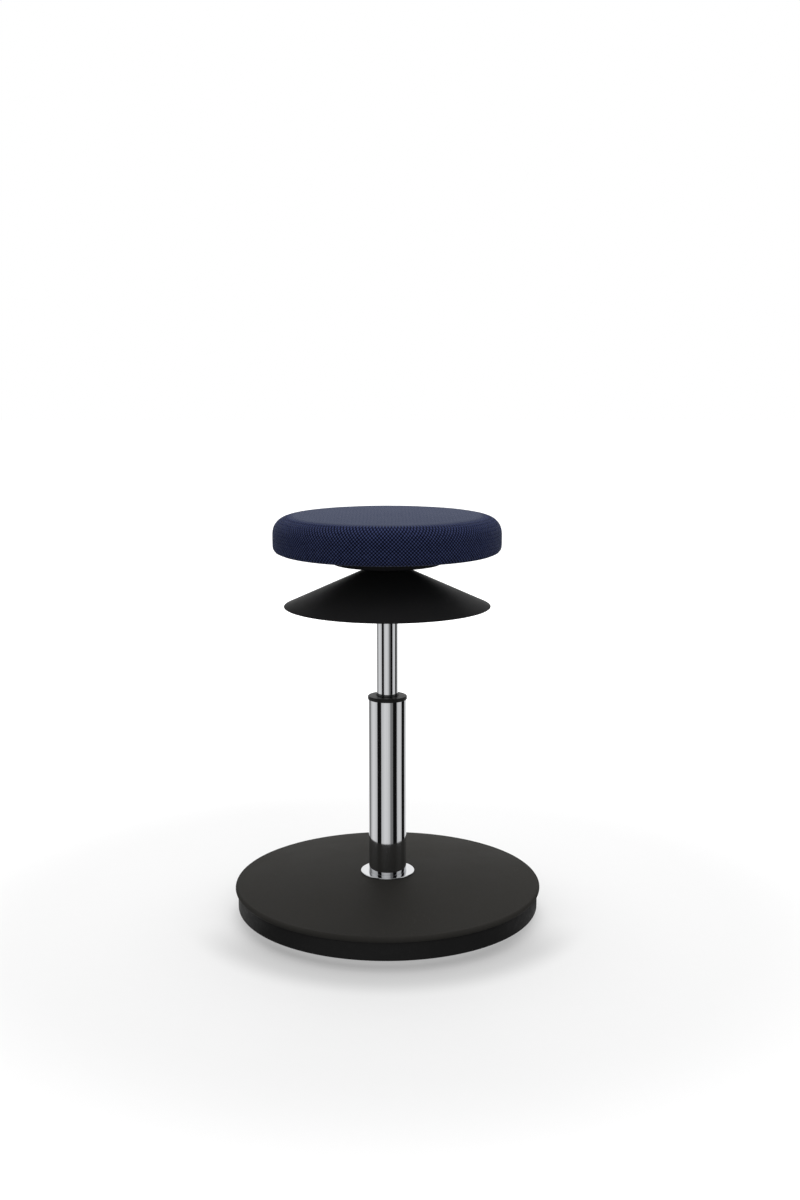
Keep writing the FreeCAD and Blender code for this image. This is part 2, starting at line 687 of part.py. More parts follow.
def make_cylinder_insides():
    """Rod guide, rod seal and valve body inside the gas cylinder."""
    guide_z, seal_z = "(cyl_low_z + crimp_thick)", "(cyl_low_z + seal_low)"
    bore = "(rod_rad + run_fit)"
    guide = turned_piece("rod_guide", box_outline(bore, guide_z, "cyl_bore", seal_z))
    seal = turned_piece("rod_seal", box_outline(bore, seal_z, "cyl_bore",
                                                f"{seal_z} + seal_thick"))
    valve_low = "(socket_low_z - valve_low)"
    valve = turned_piece("valve_body", [
        (VALVE_BORE, valve_low),
        ("cyl_bore", valve_low),
        ("cyl_bore", "socket_low_z"),
        (in_cone("cyl_top_z", "cyl_bore"), "cyl_top_z"),
        (VALVE_BORE, "cyl_top_z"),
    ])
    return [guide, seal, valve]


def make_valve_pin():
    """Pin that opens the lift's valve when its button is pressed down."""
    return turned_piece("valve_pin", [
        ("0", "socket_low_z + 1"),
        (f"{VALVE_BORE} - 0.1", "socket_low_z + 1"),
        (f"{VALVE_BORE} - 0.1", "button_z - button_thick"),
        ("button_rad", "button_z - button_thick"),
        ("button_rad", "button_z"),
        ("0", "button_z"),
    ])


def make_taper_socket():
    """Steel socket under the seat plate that the cylinder's taper is pressed into."""
    return turned_piece("taper_socket", [
        ("cyl_rad", "socket_low_z"),
        ("socket_rad", "socket_low_z"),
        ("socket_rad", "plate_z"),
        (in_cone("cyl_top_z"), "plate_z"),
        (in_cone("cyl_top_z"), "cyl_top_z"),
    ])


def make_socket_clip():
    """Ring on the socket that the release cone hangs on."""
    return turned_piece("socket_clip", box_outline("socket_rad", "socket_low_z + 0.6",
                                                   "socket_rad + clip_reach", f"{CONE_HUB_Z} - 0.2"))


def make_seat_plate():
    """Steel plate that joins the socket to the seat board."""
    body = turned_piece("seat_plate", box_outline("cyl_rad + 0.2", "plate_z",
                                                  "under_rad - under_wall - 0.5", PLATE_TOP))
    cut_lug_slots(body, "lug_slot", FIRST_LEVER_TURN)
    drill_ring(body, "seat_screw_hole", "seat_screw_mid", "seat_screw_hole", SEAT_SCREWS, SEAT_SCREW_TURN)
    drill_ring(body, "under_screw_hole", "under_screw_mid", UNDER_SHANK, UNDER_SCREWS,
               UNDER_SCREW_TURN)
    return body


def make_underplate_cover():
    """Black dish that closes the seat plate from below."""
    floor_z = "(under_z + under_wall)"
    hole, round_rad = "under_hole", "under_round"
    body = turned_piece("underplate_cover", [
        (hole, "under_z"),
        (f"under_rad - {round_rad}", "under_z"),
        ("under_rad", f"under_z + {round_rad}", f"under_rad - {round_rad}",
         f"under_z + {round_rad}", "left"),
        ("under_rad", PLATE_TOP),
        ("under_rad - under_wall", PLATE_TOP),
        ("under_rad - under_wall", floor_z),
        (hole, floor_z),
    ], UNDER_SCREW_TURN)
    boss = revolve(body, "boss", box_outline("0", f"{floor_z} - 1", "under_boss_rad", "plate_z"),
                   "under_screw_mid")
    repeat(body, "bosses", [boss], UNDER_SCREWS)
    way = revolve(body, "screw_way", [
        ("0", "under_z - 1"),
        (UNDER_HEAD, "under_z - 1"),
        (UNDER_HEAD, UNDER_SEAT_Z),
        (UNDER_SHANK, UNDER_SEAT_Z),
        (UNDER_SHANK, "plate_z + 1"),
        ("0", "plate_z + 1"),
    ], "under_screw_mid", "Groove")
    repeat(body, "screw_ways", [way], UNDER_SCREWS)
    return body


def make_underplate_screws():
    """Small screws of the cover under the seat."""
    steps = pan_screw(f"{UNDER_HEAD} - 0.1", "1.6", UNDER_SHANK, UNDER_SEAT_Z,
                      f"{PLATE_TOP} - 0.3", -1)
    return upright_ring("underplate_screws", steps, "under_screw_mid", UNDER_SCREWS,
                        UNDER_SCREW_TURN)


def make_seat_board():
    """Plywood board of the seat, open in the middle for the levers."""
    body = turned_piece("seat_board", box_outline("board_hole", BOARD_Z, "board_rad", BOARD_TOP),
                        SEAT_SCREW_TURN)
    drill_ring(body, "nut_hole", "seat_screw_mid", TEE_BARREL, SEAT_SCREWS)
    sunk = revolve(body, "nut_flange", box_outline("0", TEE_FLANGE_Z, TEE_FLANGE,
                   f"{BOARD_TOP} + 1"), "seat_screw_mid", "Groove")
    repeat(body, "nut_flanges", [sunk], SEAT_SCREWS)
    return body


def make_tee_nuts():
    """Tee nuts in the seat board."""
    steps = [
        (SEAT_SHANK, f"{BOARD_Z} + 2"),
        (TEE_BARREL, f"{BOARD_Z} + 2"),
        (TEE_BARREL, TEE_FLANGE_Z),
        (TEE_FLANGE, TEE_FLANGE_Z),
        (TEE_FLANGE, BOARD_TOP),
        (SEAT_SHANK, BOARD_TOP),
    ]
    return upright_ring("tee_nuts", steps, "seat_screw_mid", SEAT_SCREWS, SEAT_SCREW_TURN)


def make_seat_screws():
    """Screws from the seat plate into the tee nuts."""
    steps = pan_screw("5.5", "3.5", SEAT_SHANK, "plate_z", f"{BOARD_TOP} - 2", -1)
    return upright_ring("seat_screws", steps, "seat_screw_mid", SEAT_SCREWS, SEAT_SCREW_TURN)


def seat_side(skin):
    """Outline of the seat's side and top, from its lower edge to the axis, under a skin."""
    fall_sin, fall_cos = "sin(fall_turn * 1 deg)", "cos(fall_turn * 1 deg)"
    edge_rad = f"((seat_rad - flat_rad - fall_rad * {fall_sin}) / (1 - {fall_sin}))"
    fall_mid = "(seat_top_z - fall_rad)"
    edge_x = f"(flat_rad + (fall_rad - {edge_rad}) * {fall_sin})"
    edge_z = f"({fall_mid} + (fall_rad - {edge_rad}) * {fall_cos})"
    low_x, low_z = "(seat_rad - low_round)", f"({PLATE_TOP} + low_round)"
    return [
        (f"seat_rad - {skin}", low_z, low_x, low_z, "left"),
        (f"seat_rad - {skin}", edge_z),
        (f"{edge_x} + ({edge_rad} - {skin}) * {fall_sin}",
         f"{edge_z} + ({edge_rad} - {skin}) * {fall_cos}", edge_x, edge_z, "left"),
        ("flat_rad", f"seat_top_z - {skin}", "flat_rad", fall_mid, "left"),
        ("0", f"seat_top_z - {skin}"),
    ]


def make_seat_foam():
    """Foam cushion, glued over the board and its edge."""
    low_x = "(seat_rad - low_round)"
    return turned_piece("seat_foam", [
        ("0", BOARD_TOP),
        ("board_rad", BOARD_TOP),
        ("board_rad", BOARD_Z),
        (low_x, BOARD_Z),
        *seat_side("cloth"),
    ])


def make_seat_cover():
    """Fabric over the cushion, pulled round the edge and held under the board."""
    low_x = "(seat_rad - low_round)"
    inner = seat_side("cloth")
    back = [("0", "seat_top_z - cloth"), ("flat_rad", "seat_top_z - cloth")]
    for ahead, step in zip(inner[2::-1], inner[3:0:-1]):
        middle = step[2:4]
        back.append((*ahead[:2], *middle, "right") if middle else ahead[:2])
    back.append((low_x, BOARD_Z, *inner[0][2:4], "right"))
    return turned_piece("seat_cover", [
        ("liner_rad", BOARD_Z),
        ("liner_rad", PLATE_TOP),
        (low_x, PLATE_TOP),
        *seat_side("0"),
        *back,
    ])


def make_seat_liner():
    """Thin dark lining that closes the seat's underside inside the fabric's edge."""
    body = turned_piece("seat_liner", box_outline("board_hole", PLATE_TOP, "liner_rad", BOARD_Z))
    drill_ring(body, "seat_screw_hole", "seat_screw_mid", "seat_screw_hole", SEAT_SCREWS, SEAT_SCREW_TURN)
    return body


def make_lever_bracket():
    """Plate on the seat plate with three forked ears for the lever pins."""
    body = turned_piece("lever_bracket", box_outline("bracket_in", PLATE_TOP, "bracket_out",
                                                     BRACKET_TOP),
                        FIRST_LEVER_TURN)
    low, high = "(pivot_mid - ear_reach)", "(pivot_mid + ear_reach)"
    ear_top = "(pivot_z + ear_reach)"

    def ear_side(plan):
        draw(plan, [(high, f"{BRACKET_TOP} - 1"), (high, "pivot_z"),
                    (low, "pivot_z", "pivot_mid", "pivot_z", "left"), (low, f"{BRACKET_TOP} - 1")])
        circle(plan, "pivot_mid", "pivot_z", "pin_rad")

    ears = slab(body, "ears", ear_side, EAR_WIDE)
    fork = slab(body, "fork", lambda plan: draw(plan, box_outline(f"{low} - 1", BRACKET_TOP,
                f"{high} + 1", f"{ear_top} + 1")), f"lever_wide + {FORK_GAP}", "Pocket")
    repeat(body, "ear_ring", [ears, fork], LEVERS)
    cut_lug_slots(body, "lug_slot")
    return body


def make_lever_pins():
    """Pins of the three release levers."""
    body = new_body("lever_pins", FIRST_LEVER_TURN)
    pin = slab(body, "pin", lambda plan: circle(plan, "pivot_mid", "pivot_z", "pin_rad"), EAR_WIDE)
    repeat(body, "pin_ring", [pin], LEVERS)
    return body


def make_release_levers():
    """Three cranked levers. Each is pushed up at its outer end and presses the button."""
    nose_out, nose_in = "(nose_mid + nose_rad)", "(nose_mid - nose_rad)"
    outer = "(lug_mid + lug_half)"
    side = [
        (outer, "lever_low_z"),
        (outer, "lever_low_z + 2.8"),
        ("pivot_mid + 2.2", "pivot_z + 3"),
        ("pivot_mid - 1.2", "pivot_z + 3"),
        (nose_in, "nose_z + 3.2"),
        (nose_in, "nose_z"),
        (nose_out, "nose_z", "nose_mid", "nose_z", "left"),
        (nose_out, "lever_low_z"),
    ]

    def lever_side(plan):
        draw(plan, side)
        circle(plan, "pivot_mid", "pivot_z", "pin_rad + run_fit")

    levers = []
    for number in range(LEVERS):
        body = new_body(f"release_lever_{number + 1}", FIRST_LEVER_TURN + 360 / LEVERS * number)
        slab(body, f"lever_{number + 1}_blade", lever_side, "lever_wide")
        levers.append(body)
    return levers


def make_release_cone():
    """Wide cone whose rim is pulled up from any side to free the lift."""
    inner_end = f"(lip_cone_rad + (lip_cone_z - cone_wall - rim_cone_z) / {CONE_SLOPE})"
    body = turned_piece("release_cone", [
        ("lip_cone_rad", under_cone("lip_cone_rad")),
        (inner_end, "rim_cone_z"),
        ("rim_cone_rad", "rim_cone_z"),
        ("lip_cone_rad", "lip_cone_z"),
    ])
    return body


def make_cone_hub():
    """Sleeve that guides the release cone on the socket, with its three lugs."""
    flange_rad, sleeve, bore = "hub_cone_rad", "hub_sleeve", "socket_rad + hub_fit"
    body = turned_piece("cone_hub", [
        (bore, CONE_HUB_Z),
        (sleeve, CONE_HUB_Z),
        (sleeve, "hub_cone_z"),
        (flange_rad, f"{under_cone(flange_rad)} - hub_cone_wall"),
        (flange_rad, under_cone(flange_rad)),
        ("lip_cone_rad", under_cone("lip_cone_rad")),
        ("lip_cone_rad", "lip_cone_z"),
        (bore, "lip_cone_z"),
    ], FIRST_LEVER_TURN)
    low, high = "(lug_mid - lug_half)", "(lug_mid + lug_half)"
    lug = slab(body, "lug", lambda plan: draw(plan, [
        (high, "lip_cone_z - 2"),
        (high, LUG_ROUND_Z),
        (low, LUG_ROUND_Z, "lug_mid", LUG_ROUND_Z, "left"),
        (low, "lip_cone_z - 2"),
    ]), "lug_wide")
    repeat(body, "lugs", [lug], LEVERS)
    return body


def make_return_spring():
    """Coil spring that pushes the release cone back down."""
    body = new_body("return_spring")
    wire, mid, turns = "wire_rad", "(socket_rad + 2.1)", 4.5
    low = f"(lip_cone_z + {wire} + 0.1)"
    sketch = new_sketch(body, "wire_section", "XZ_Plane")
    circle(sketch, mid, low, wire)
    coil = body.newObject("PartDesign::AdditiveHelix", "coil")
    coil.Profile = sketch
    coil.ReferenceAxis = (sketch, ["V_Axis"])
    coil.Mode = "height-turns-angle"
    coil.Turns = turns
    coil.Height = size(f"plate_z - lip_cone_z - 2 * {wire} - 0.2")
    coil.setExpression("Height", bound(f"plate_z - lip_cone_z - 2 * {wire} - 0.2"))
    body.Tip = coil
    return body


pieces = [
    make_floor_pad(),
    make_rocker_shell(),
    make_ballast_disc(),
    make_ballast_screws(),
    make_column_hub(),
    make_hub_bolts(),
    make_base_cover(),
    make_shell_screws(),
    make_column_ring(),
    make_column_tube(),
    make_guide_bush(),
    *make_bearing(),
    *make_rod_parts(),
    make_gas_cylinder(),
    *make_cylinder_insides(),
    make_valve_pin(),
    make_taper_socket(),
    make_socket_clip(),
    make_seat_plate(),
    make_underplate_cover(),
    make_underplate_screws(),
    make_seat_board(),
    make_tee_nuts(),
    make_seat_screws(),
    make_seat_foam(),
    make_seat_cover(),
    make_seat_liner(),
    make_lever_bracket(),
    make_lever_pins(),
    *make_release_levers(),
    make_release_cone(),
    make_cone_hub(),
    make_return_spring(),
]

doc.recompute()
for thing in doc.Objects:
    if {"Invalid", "Error"} & set(thing.State):
        raise RuntimeError(f"{thing.Label} did not compute: {thing.State}")
for piece in pieces:
    if piece.Shape.isNull() or not piece.Shape.isValid() or not piece.Shape.Solids:
        raise RuntimeError(f"{piece.Label} has no valid solid")

os.makedirs("parts", exist_ok=True)
for piece in pieces:
    piece.Shape.exportStep(f"parts/{piece.Label}.step")
    box = piece.Shape.BoundBox
    print(f"{piece.Label:22} {len(piece.Shape.Solids):2} solids  {piece.Shape.Volume / 1000:8.1f} cm3"
          f"  z {box.ZMin:7.2f} to {box.ZMax:7.2f}  reach {max(box.XMax, box.YMax):6.2f}")
print(len(pieces), "pieces")
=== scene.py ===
import functools
import json
import math

import bmesh
import bpy
from bpy.props import FloatProperty, FloatVectorProperty, IntProperty, PointerProperty
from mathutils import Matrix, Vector, noise


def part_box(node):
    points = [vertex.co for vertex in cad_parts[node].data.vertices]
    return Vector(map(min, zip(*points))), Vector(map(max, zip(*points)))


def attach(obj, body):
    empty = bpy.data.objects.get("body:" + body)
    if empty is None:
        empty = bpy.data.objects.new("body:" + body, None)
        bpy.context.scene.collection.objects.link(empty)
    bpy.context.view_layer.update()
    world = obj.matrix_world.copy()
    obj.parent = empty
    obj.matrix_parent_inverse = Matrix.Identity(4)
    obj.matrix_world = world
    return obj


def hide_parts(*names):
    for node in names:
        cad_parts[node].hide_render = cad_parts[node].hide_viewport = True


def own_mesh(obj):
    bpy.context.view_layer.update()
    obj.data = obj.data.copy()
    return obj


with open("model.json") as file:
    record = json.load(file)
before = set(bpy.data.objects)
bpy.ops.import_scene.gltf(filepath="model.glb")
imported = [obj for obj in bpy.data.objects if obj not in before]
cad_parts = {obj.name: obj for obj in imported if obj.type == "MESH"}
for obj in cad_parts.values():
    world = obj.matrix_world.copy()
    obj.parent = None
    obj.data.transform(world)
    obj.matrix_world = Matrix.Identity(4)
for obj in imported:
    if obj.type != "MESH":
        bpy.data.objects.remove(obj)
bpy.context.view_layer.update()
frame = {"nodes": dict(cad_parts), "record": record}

bl_info = {
    "name": "Wobble stool",
    "version": (1, 0, 0),
    "blender": (4, 5, 0),
    "location": "3D View > Sidebar > Stool",
    "description": "Dresses the solids of a round wobble stool with visible pieces and finishes",
    "category": "Add Mesh",
}

MM = 0.001
ROUND_TURNS = 256


@functools.cache
def corners(node):
    """Lowest and highest corner of a solid."""
    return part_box(node)


def far(node):
    """Outer radius of a round solid."""
    return corners(node)[1].x


def low(node):
    """Height of a solid's underside."""
    return corners(node)[0].z


def high(node):
    """Height of a solid's top."""
    return corners(node)[1].z


def unit(value):
    """A value kept from 0 to 1."""
    return max(0.0, min(1.0, value))


def shade(red, green, blue):
    """A colour given as it is seen, 0 to 255, in the linear values that Blender works with."""
    parts = [part / 255 for part in (red, green, blue)]
    return tuple(p / 12.92 if p <= 0.04045 else ((p + 0.055) / 1.055) ** 2.4 for p in parts)


def length(label, text, default):
    """A length setting."""
    return FloatProperty(name=label, description=text, default=default, unit="LENGTH", precision=5)


def counted(label, text, default):
    """A setting that counts things."""
    return IntProperty(name=label, description=text, default=default)


def wattage(label, text, default):
    """The power of a lamp."""
    return FloatProperty(name=label, description=text, default=default, unit="POWER")


def factor(label, text, default, top=1.0):
    """A setting from 0 to a top value."""
    return FloatProperty(name=label, description=text, default=default, min=0.0, max=top)


def colour(label, text, default):
    """A colour setting."""
    return FloatVectorProperty(name=label, description=text, default=default, subtype="COLOR",
                               size=3, min=0.0, max=1.0)


class CushionSettings(bpy.types.PropertyGroup):
    flat_rad: length("Flat top", "Radius at which the seat's top begins to fall", 0.117)
    fall_rad: length("First fall", "Radius of the gentle first fall at the shoulder", 0.063)
    fall_turn: FloatProperty(name="Fall turn", description="How far the gentle fall turns",
                             default=math.radians(15), subtype="ANGLE")
    low_round: length("Lower edge", "Rounding of the seat's lower edge", 0.0076)
    start_inset: length("Start inset", "How much smaller the cushion starts", 0.0025)
    crown: length("Crown", "How much the middle of the top stands above its rim", 0.0016)
    voxel: length("Voxel", "Mesh size of the cloth before it is subdivided", 0.004)
    pressure: factor("Pressure", "Pressure that fills the cushion", 4.0, 20.0)
    frames: counted("Frames", "Frames that the cloth is stepped through", 20)
    hug: factor("Hug", "How far the filled cloth is drawn to the foam's outline", 0.95)
    pucker: length("Pucker", "Depth of the small folds at the lower edge", 0.00035)
    pleat: length("Pleat", "Depth of the gathers under the board", 0.0011)
    pleats: counted("Pleats", "Gathers round the underside", 58)
    staples: counted("Staples", "Staples that hold the lining", 40)


class ClothSettings(bpy.types.PropertyGroup):
    threads: counted("Threads", "Slanting threads round the seat's side", 207)
    thread: colour("Thread", "Colour of the raised threads", shade(58, 66, 102))
    # Painted shade: the gap colour darkens the low parts of the weave between the threads.
    gap: colour("Gap", "Colour between the threads", shade(7, 8, 17))
    # Painted sheen: the lint colour is a pale tone laid on the seat's flat top in place of the
    # light the cloth catches at a flat angle.
    top_sheen_paint: colour("Lint", "Colour of the rubbed fibres on the flat top", shade(66, 71, 88))
    fuzz: factor("Fuzz", "Pale sheen of the fibres at a flat angle", 0.22)
    fuzz_spread: factor("Fuzz spread", "How far the sheen spreads from a flat angle", 0.2)
    relief: length("Relief", "Height of the threads", 0.00045)


class PlasticSettings(bpy.types.PropertyGroup):
    cover: colour("Base cover", "Colour of the base cover", shade(46, 45, 43))
    shell: colour("Rocker shell", "Colour of the lower housing", shade(31, 31, 31))
    guide: colour("Guide", "Colour of the guide bush", shade(28, 28, 28))
    cone: colour("Cone", "Colour of the release cone and the dish", shade(35, 35, 36))
    grain: length("Grain", "Size of the moulded grain", 0.0006)


class MetalSettings(bpy.types.PropertyGroup):
    chrome: colour("Chrome", "Colour of the bright tubes", shade(200, 201, 203))
    polish: factor("Chrome roughness", "Roughness of the bright tubes", 0.045)
    steel: colour("Steel", "Colour of bare steel", shade(172, 172, 170))
    zinc: colour("Zinc", "Colour of zinc plated steel", shade(186, 187, 182))


class StageSettings(bpy.types.PropertyGroup):
    floor: colour("Floor", "Colour of the floor", (0.5, 0.5, 0.5))
    lift: factor("Floor lift", "White that the camera sees added to the floor", 0.4)
    sky: factor("Surroundings", "Light that comes from all round", 0.68, 4.0)
    top_power: wattage("Main lamp", "Power of the lamp above and behind", 27.0)
    back_power: wattage("Back lamp", "Power of the low lamp behind", 17.0)
    front_power: wattage("Front lamp", "Power of the lamp over the camera", 8.0)


# Outlines and turned meshes

def rounded(places, steps=5):
    """Outline points from (radius, height, rounding) corners, each corner an arc."""
    points = []
    for index, (rad, height, soft) in enumerate(places):
        here = Vector((rad, height))
        if not soft:
            points.append(here)
            continue
        back = (Vector(places[index - 1][:2]) - here).normalized()
        ahead = (Vector(places[(index + 1) % len(places)][:2]) - here).normalized()
        half = back.angle(ahead) / 2
        middle = here + (back + ahead).normalized() * soft / math.sin(half)
        first = (here + back * soft / math.tan(half) - middle).normalized()
        last = (here + ahead * soft / math.tan(half) - middle).normalized()
        points += [middle + first.slerp(last, step / steps) * soft for step in range(steps + 1)]
    return points


def arc(middle, rad, first, last, steps):
    """Points on a round stretch of an outline, its angles in radians."""
    turns = [first + (last - first) * step / steps for step in range(steps + 1)]
    return [Vector((middle[0] + rad * math.cos(t), middle[1] + rad * math.sin(t))) for t in turns]


def domed(start, end, steps):
    """Points between two places on a ball whose middle is on the axis, without its ends."""
    middle = (end[0] ** 2 + end[1] ** 2 - start[0] ** 2 - start[1] ** 2) / (2 * (end[1] - start[1]))
    ball = math.hypot(start[0], start[1] - middle)
    side = 1 if start[1] > middle else -1
    rads = [start[0] + (end[0] - start[0]) * step / steps for step in range(1, steps)]
    return [Vector((rad, middle + side * math.sqrt(ball ** 2 - rad ** 2))) for rad in rads]


def along(start, end, steps):
    """Points between two places of an outline, without its ends."""
    first, last = Vector(start), Vector(end)
    return [first.lerp(last, step / steps) for step in range(1, steps)]


def soften(work, sharp_turn=math.radians(32)):
    """Shade a mesh smooth, but keep its sharp corners."""
    for face in work.faces:
        face.smooth = True
    for edge in work.edges:
        edge.smooth = edge.calc_face_angle(0.0) < sharp_turn


def new_object(name, mesh, material=None):
    """Put a mesh in the scene."""
    thing = bpy.data.objects.new(name, mesh)
    bpy.context.scene.collection.objects.link(thing)
    if material is not None:
        mesh.materials.clear()
        mesh.materials.append(material)
    return thing


def mesh_of(work, name):
    """The mesh that a finished bmesh holds. The bmesh is freed."""
    mesh = bpy.data.meshes.new(name)
    work.to_mesh(mesh)
    work.free()
    return mesh


def polar(point):
    """Distance of a point from the Z axis, and its turn round it."""
    return math.hypot(point.x, point.y), math.atan2(point.y, point.x)


def turned(name, outline, material=None, turns=ROUND_TURNS):
    """Turn an outline round the Z axis. An outline that leaves the axis comes back to its start."""
    work = bmesh.new()
    rings = []
    for rad, height in outline:
        angles = [2 * math.pi * turn / turns for turn in range(turns if rad > 1e-7 else 1)]
        rings.append([work.verts.new((rad * math.cos(a), rad * math.sin(a), height))
                      for a in angles])
    open_ended = len(rings[0]) == 1 and len(rings[-1]) == 1
    for inner, outer in zip(rings, rings[1:] if open_ended else rings[1:] + rings[:1]):
        for turn in range(turns):
            after = (turn + 1) % turns
            ends = [inner[turn % len(inner)], inner[after % len(inner)],
                    outer[after % len(outer)], outer[turn % len(outer)]]
            work.faces.new(dict.fromkeys(ends))
    bmesh.ops.recalc_face_normals(work, faces=work.faces)
    soften(work)
    return new_object(name, mesh_of(work, name), material)


def plain(piece):
    """Turn what a piece's modifiers make into its plain mesh."""
    graph = bpy.context.evaluated_depsgraph_get()
    mesh = bpy.data.meshes.new_from_object(piece.evaluated_get(graph))
    mesh.name = piece.name
    piece.modifiers.clear()
    piece.data = mesh
    return piece


def smooth_copy(node, name, slot, body):
    """Stand in for a solid with its own shape, its facets joined and its round faces smooth."""
    work = bmesh.new()
    work.from_mesh(frame["nodes"][node].data)
    bmesh.ops.remove_doubles(work, verts=work.verts, dist=2e-6)
    work.verts.index_update()
    points = [tuple(vert.co) for vert in work.verts]
    faces = [[vert.index for vert in face.verts] for face in work.faces]
    work.free()
    mesh = bpy.data.meshes.new(name)
    mesh.from_pydata(points, [], faces)
    work = bmesh.new()
    work.from_mesh(mesh)
    bmesh.ops.recalc_face_normals(work, faces=work.faces)
    soften(work)
    work.to_mesh(mesh)
    work.free()
    piece = new_object(name, mesh, finish_of(slot))
    even = piece.modifiers.new("even normals", "WEIGHTED_NORMAL")
    even.keep_sharp = True
    settle(plain(piece), body, slot, node)


def cut(piece, *cutters):
    """Take cutters away from a piece."""
    for cutter in cutters:
        trim = piece.modifiers.new("cut", "BOOLEAN")
        trim.operation = "DIFFERENCE"
        trim.object = cutter
        trim.solver = "EXACT"
    plain(piece)
    for cutter in cutters:
        bpy.data.objects.remove(cutter)
    work = bmesh.new()
    work.from_mesh(piece.data)
    soften(work)
    work.to_mesh(piece.data)
    work.free()
    return piece


def settle(piece, body, slot, *nodes):
    """Say which body a finished piece rides on, and hide the solids it stands for. The slot is not
    used.
    """
    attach(piece, body)
    if nodes:
        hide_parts(*nodes)
    return piece


def lathe(name, outline, slot, body, node):
    """Stand in for a round solid with a turned outline."""
    settle(turned(name, outline, finish_of(slot)), body, slot, node)


# Node trees

def add(tree, kind, inputs=(), **settings):
    """Add a node to a tree, set it up, and link or fill its inputs."""
    node = tree.nodes.new(kind)
    for name, value in settings.items():
        setattr(node, name, value)
    for name, value in dict(inputs).items():
        if isinstance(value, bpy.types.NodeSocket):
            tree.links.new(value, node.inputs[name])
        else:
            node.inputs[name].default_value = value
    return node


def calc(tree, operation, *values):
    """A sum of one Math node."""
    return add(tree, "ShaderNodeMath", enumerate(values), operation=operation).outputs[0]


def total(tree, first, second):
    """Two values added."""
    return calc(tree, "ADD", first, second)


def times(tree, first, second):
    """Two values multiplied."""
    return calc(tree, "MULTIPLY", first, second)


def scaled(tree, value, by, plus):
    """A value multiplied, then added to."""
    return calc(tree, "MULTIPLY_ADD", value, by, plus)


def from_axis(tree, x, y):
    """Distance from the Z axis."""
    return calc(tree, "SQRT", total(tree, calc(tree, "POWER", x, 2.0), calc(tree, "POWER", y, 2.0)))


def blend(tree, mask, first, second):
    """A value that goes from the first to the second as the mask goes from 0 to 1."""
    return add(tree, "ShaderNodeMix", {0: mask, 2: first, 3: second}).outputs[0]


def parts_of(tree, vector):
    """The X, Y and Z of a vector."""
    return add(tree, "ShaderNodeSeparateXYZ", {0: vector}).outputs


def upward(tree, value):
    """A vector along Z."""
    return add(tree, "ShaderNodeCombineXYZ", {2: value}).outputs[0]


def ramp(tree, value, start, end):
    """A smooth step of a value, 0 at start and 1 at end."""
    inputs = {"Value": value, "From Min": start, "From Max": end}
    return add(tree, "ShaderNodeMapRange", inputs, interpolation_type="SMOOTHSTEP").outputs[0]


def span(tree, value, least, most):
    """A value from 0 to 1 spread between two numbers."""
    inputs = {"Value": value, "To Min": least, "To Max": most}
    return add(tree, "ShaderNodeMapRange", inputs).outputs[0]


def opaque(value):
    """A value as its socket takes it: a colour gets its fourth part."""
    as_it_is = isinstance(value, bpy.types.NodeSocket) or not hasattr(value, "__len__")
    return value if as_it_is else (*value, 1.0)


def tint(tree, mask, first, second):
    """A colour that goes from the first to the second as the mask goes from 0 to 1."""
    inputs = {0: mask, 6: opaque(first), 7: opaque(second)}
    return add(tree, "ShaderNodeMix", inputs, data_type="RGBA").outputs[2]


def toned(tone, by):
    """A colour made brighter or darker."""
    return [min(part * by, 1.0) for part in tone]


def cloud(tree, place, scale, detail=3.0, rough=0.55):
    """A soft noise from about 0 to 1, its scale in features to the metre."""
    inputs = {"Vector": place, "Scale": scale, "Detail": detail, "Roughness": rough}
    return add(tree, "ShaderNodeTexNoise", inputs).outputs[0]


def stretched(tree, place, scale):
    """Object coordinates scaled by a different number each way."""
    inputs = {0: place, 1: scale}
    return add(tree, "ShaderNodeVectorMath", inputs, operation="MULTIPLY").outputs[0]


def new_group(name, inputs, outputs, kind="ShaderNodeTree"):
    """An empty node group with named sockets, and its two end nodes."""
    tree = bpy.data.node_groups.new(name, kind)
    for socket, (sort, default) in inputs.items():
        made = tree.interface.new_socket(socket, in_out="INPUT", socket_type="NodeSocket" + sort)
        if default is not None:
            made.default_value = default
    for socket, sort in outputs.items():
        tree.interface.new_socket(socket, in_out="OUTPUT", socket_type="NodeSocket" + sort)
    return tree, tree.nodes.new("NodeGroupInput").outputs, tree.nodes.new("NodeGroupOutput").inputs


def placed(tree, group, inputs):
    """Put a node group into a material."""
    return add(tree, "ShaderNodeGroup", inputs, node_tree=bpy.data.node_groups[group]).outputs


def woven_group():
    """Plain weave on slanting axes. First and Second count threads along the two axes."""
    tree, given, result = new_group(
        "Woven threads",
        {"First": ("Float", 0.0), "Second": ("Float", 0.0)},
        {"Height": "Float", "Ply": "Float"},
    )
    halves = []
    parity = total(tree, calc(tree, "FLOOR", given["First"]), calc(tree, "FLOOR", given["Second"]))
    over = calc(tree, "FLOORED_MODULO", parity, 2.0)
    for name in ("First", "Second"):
        across = calc(tree, "SUBTRACT", calc(tree, "FRACT", given[name]), 0.5)
        halves.append((across, calc(tree, "COSINE", times(tree, across, math.pi))))
    heights, plies = [], []
    for (across, bow), (_, run) in (halves, halves[::-1]):
        crest = scaled(tree, run, 0.45, 0.55)
        heights.append(times(tree, calc(tree, "POWER", bow, 0.6), crest))
        plies.append(calc(tree, "COSINE", times(tree, across, 6 * math.pi)))
    for out, pair in (("Height", heights), ("Ply", plies)):
        tree.links.new(blend(tree, over, *pair), result[out])


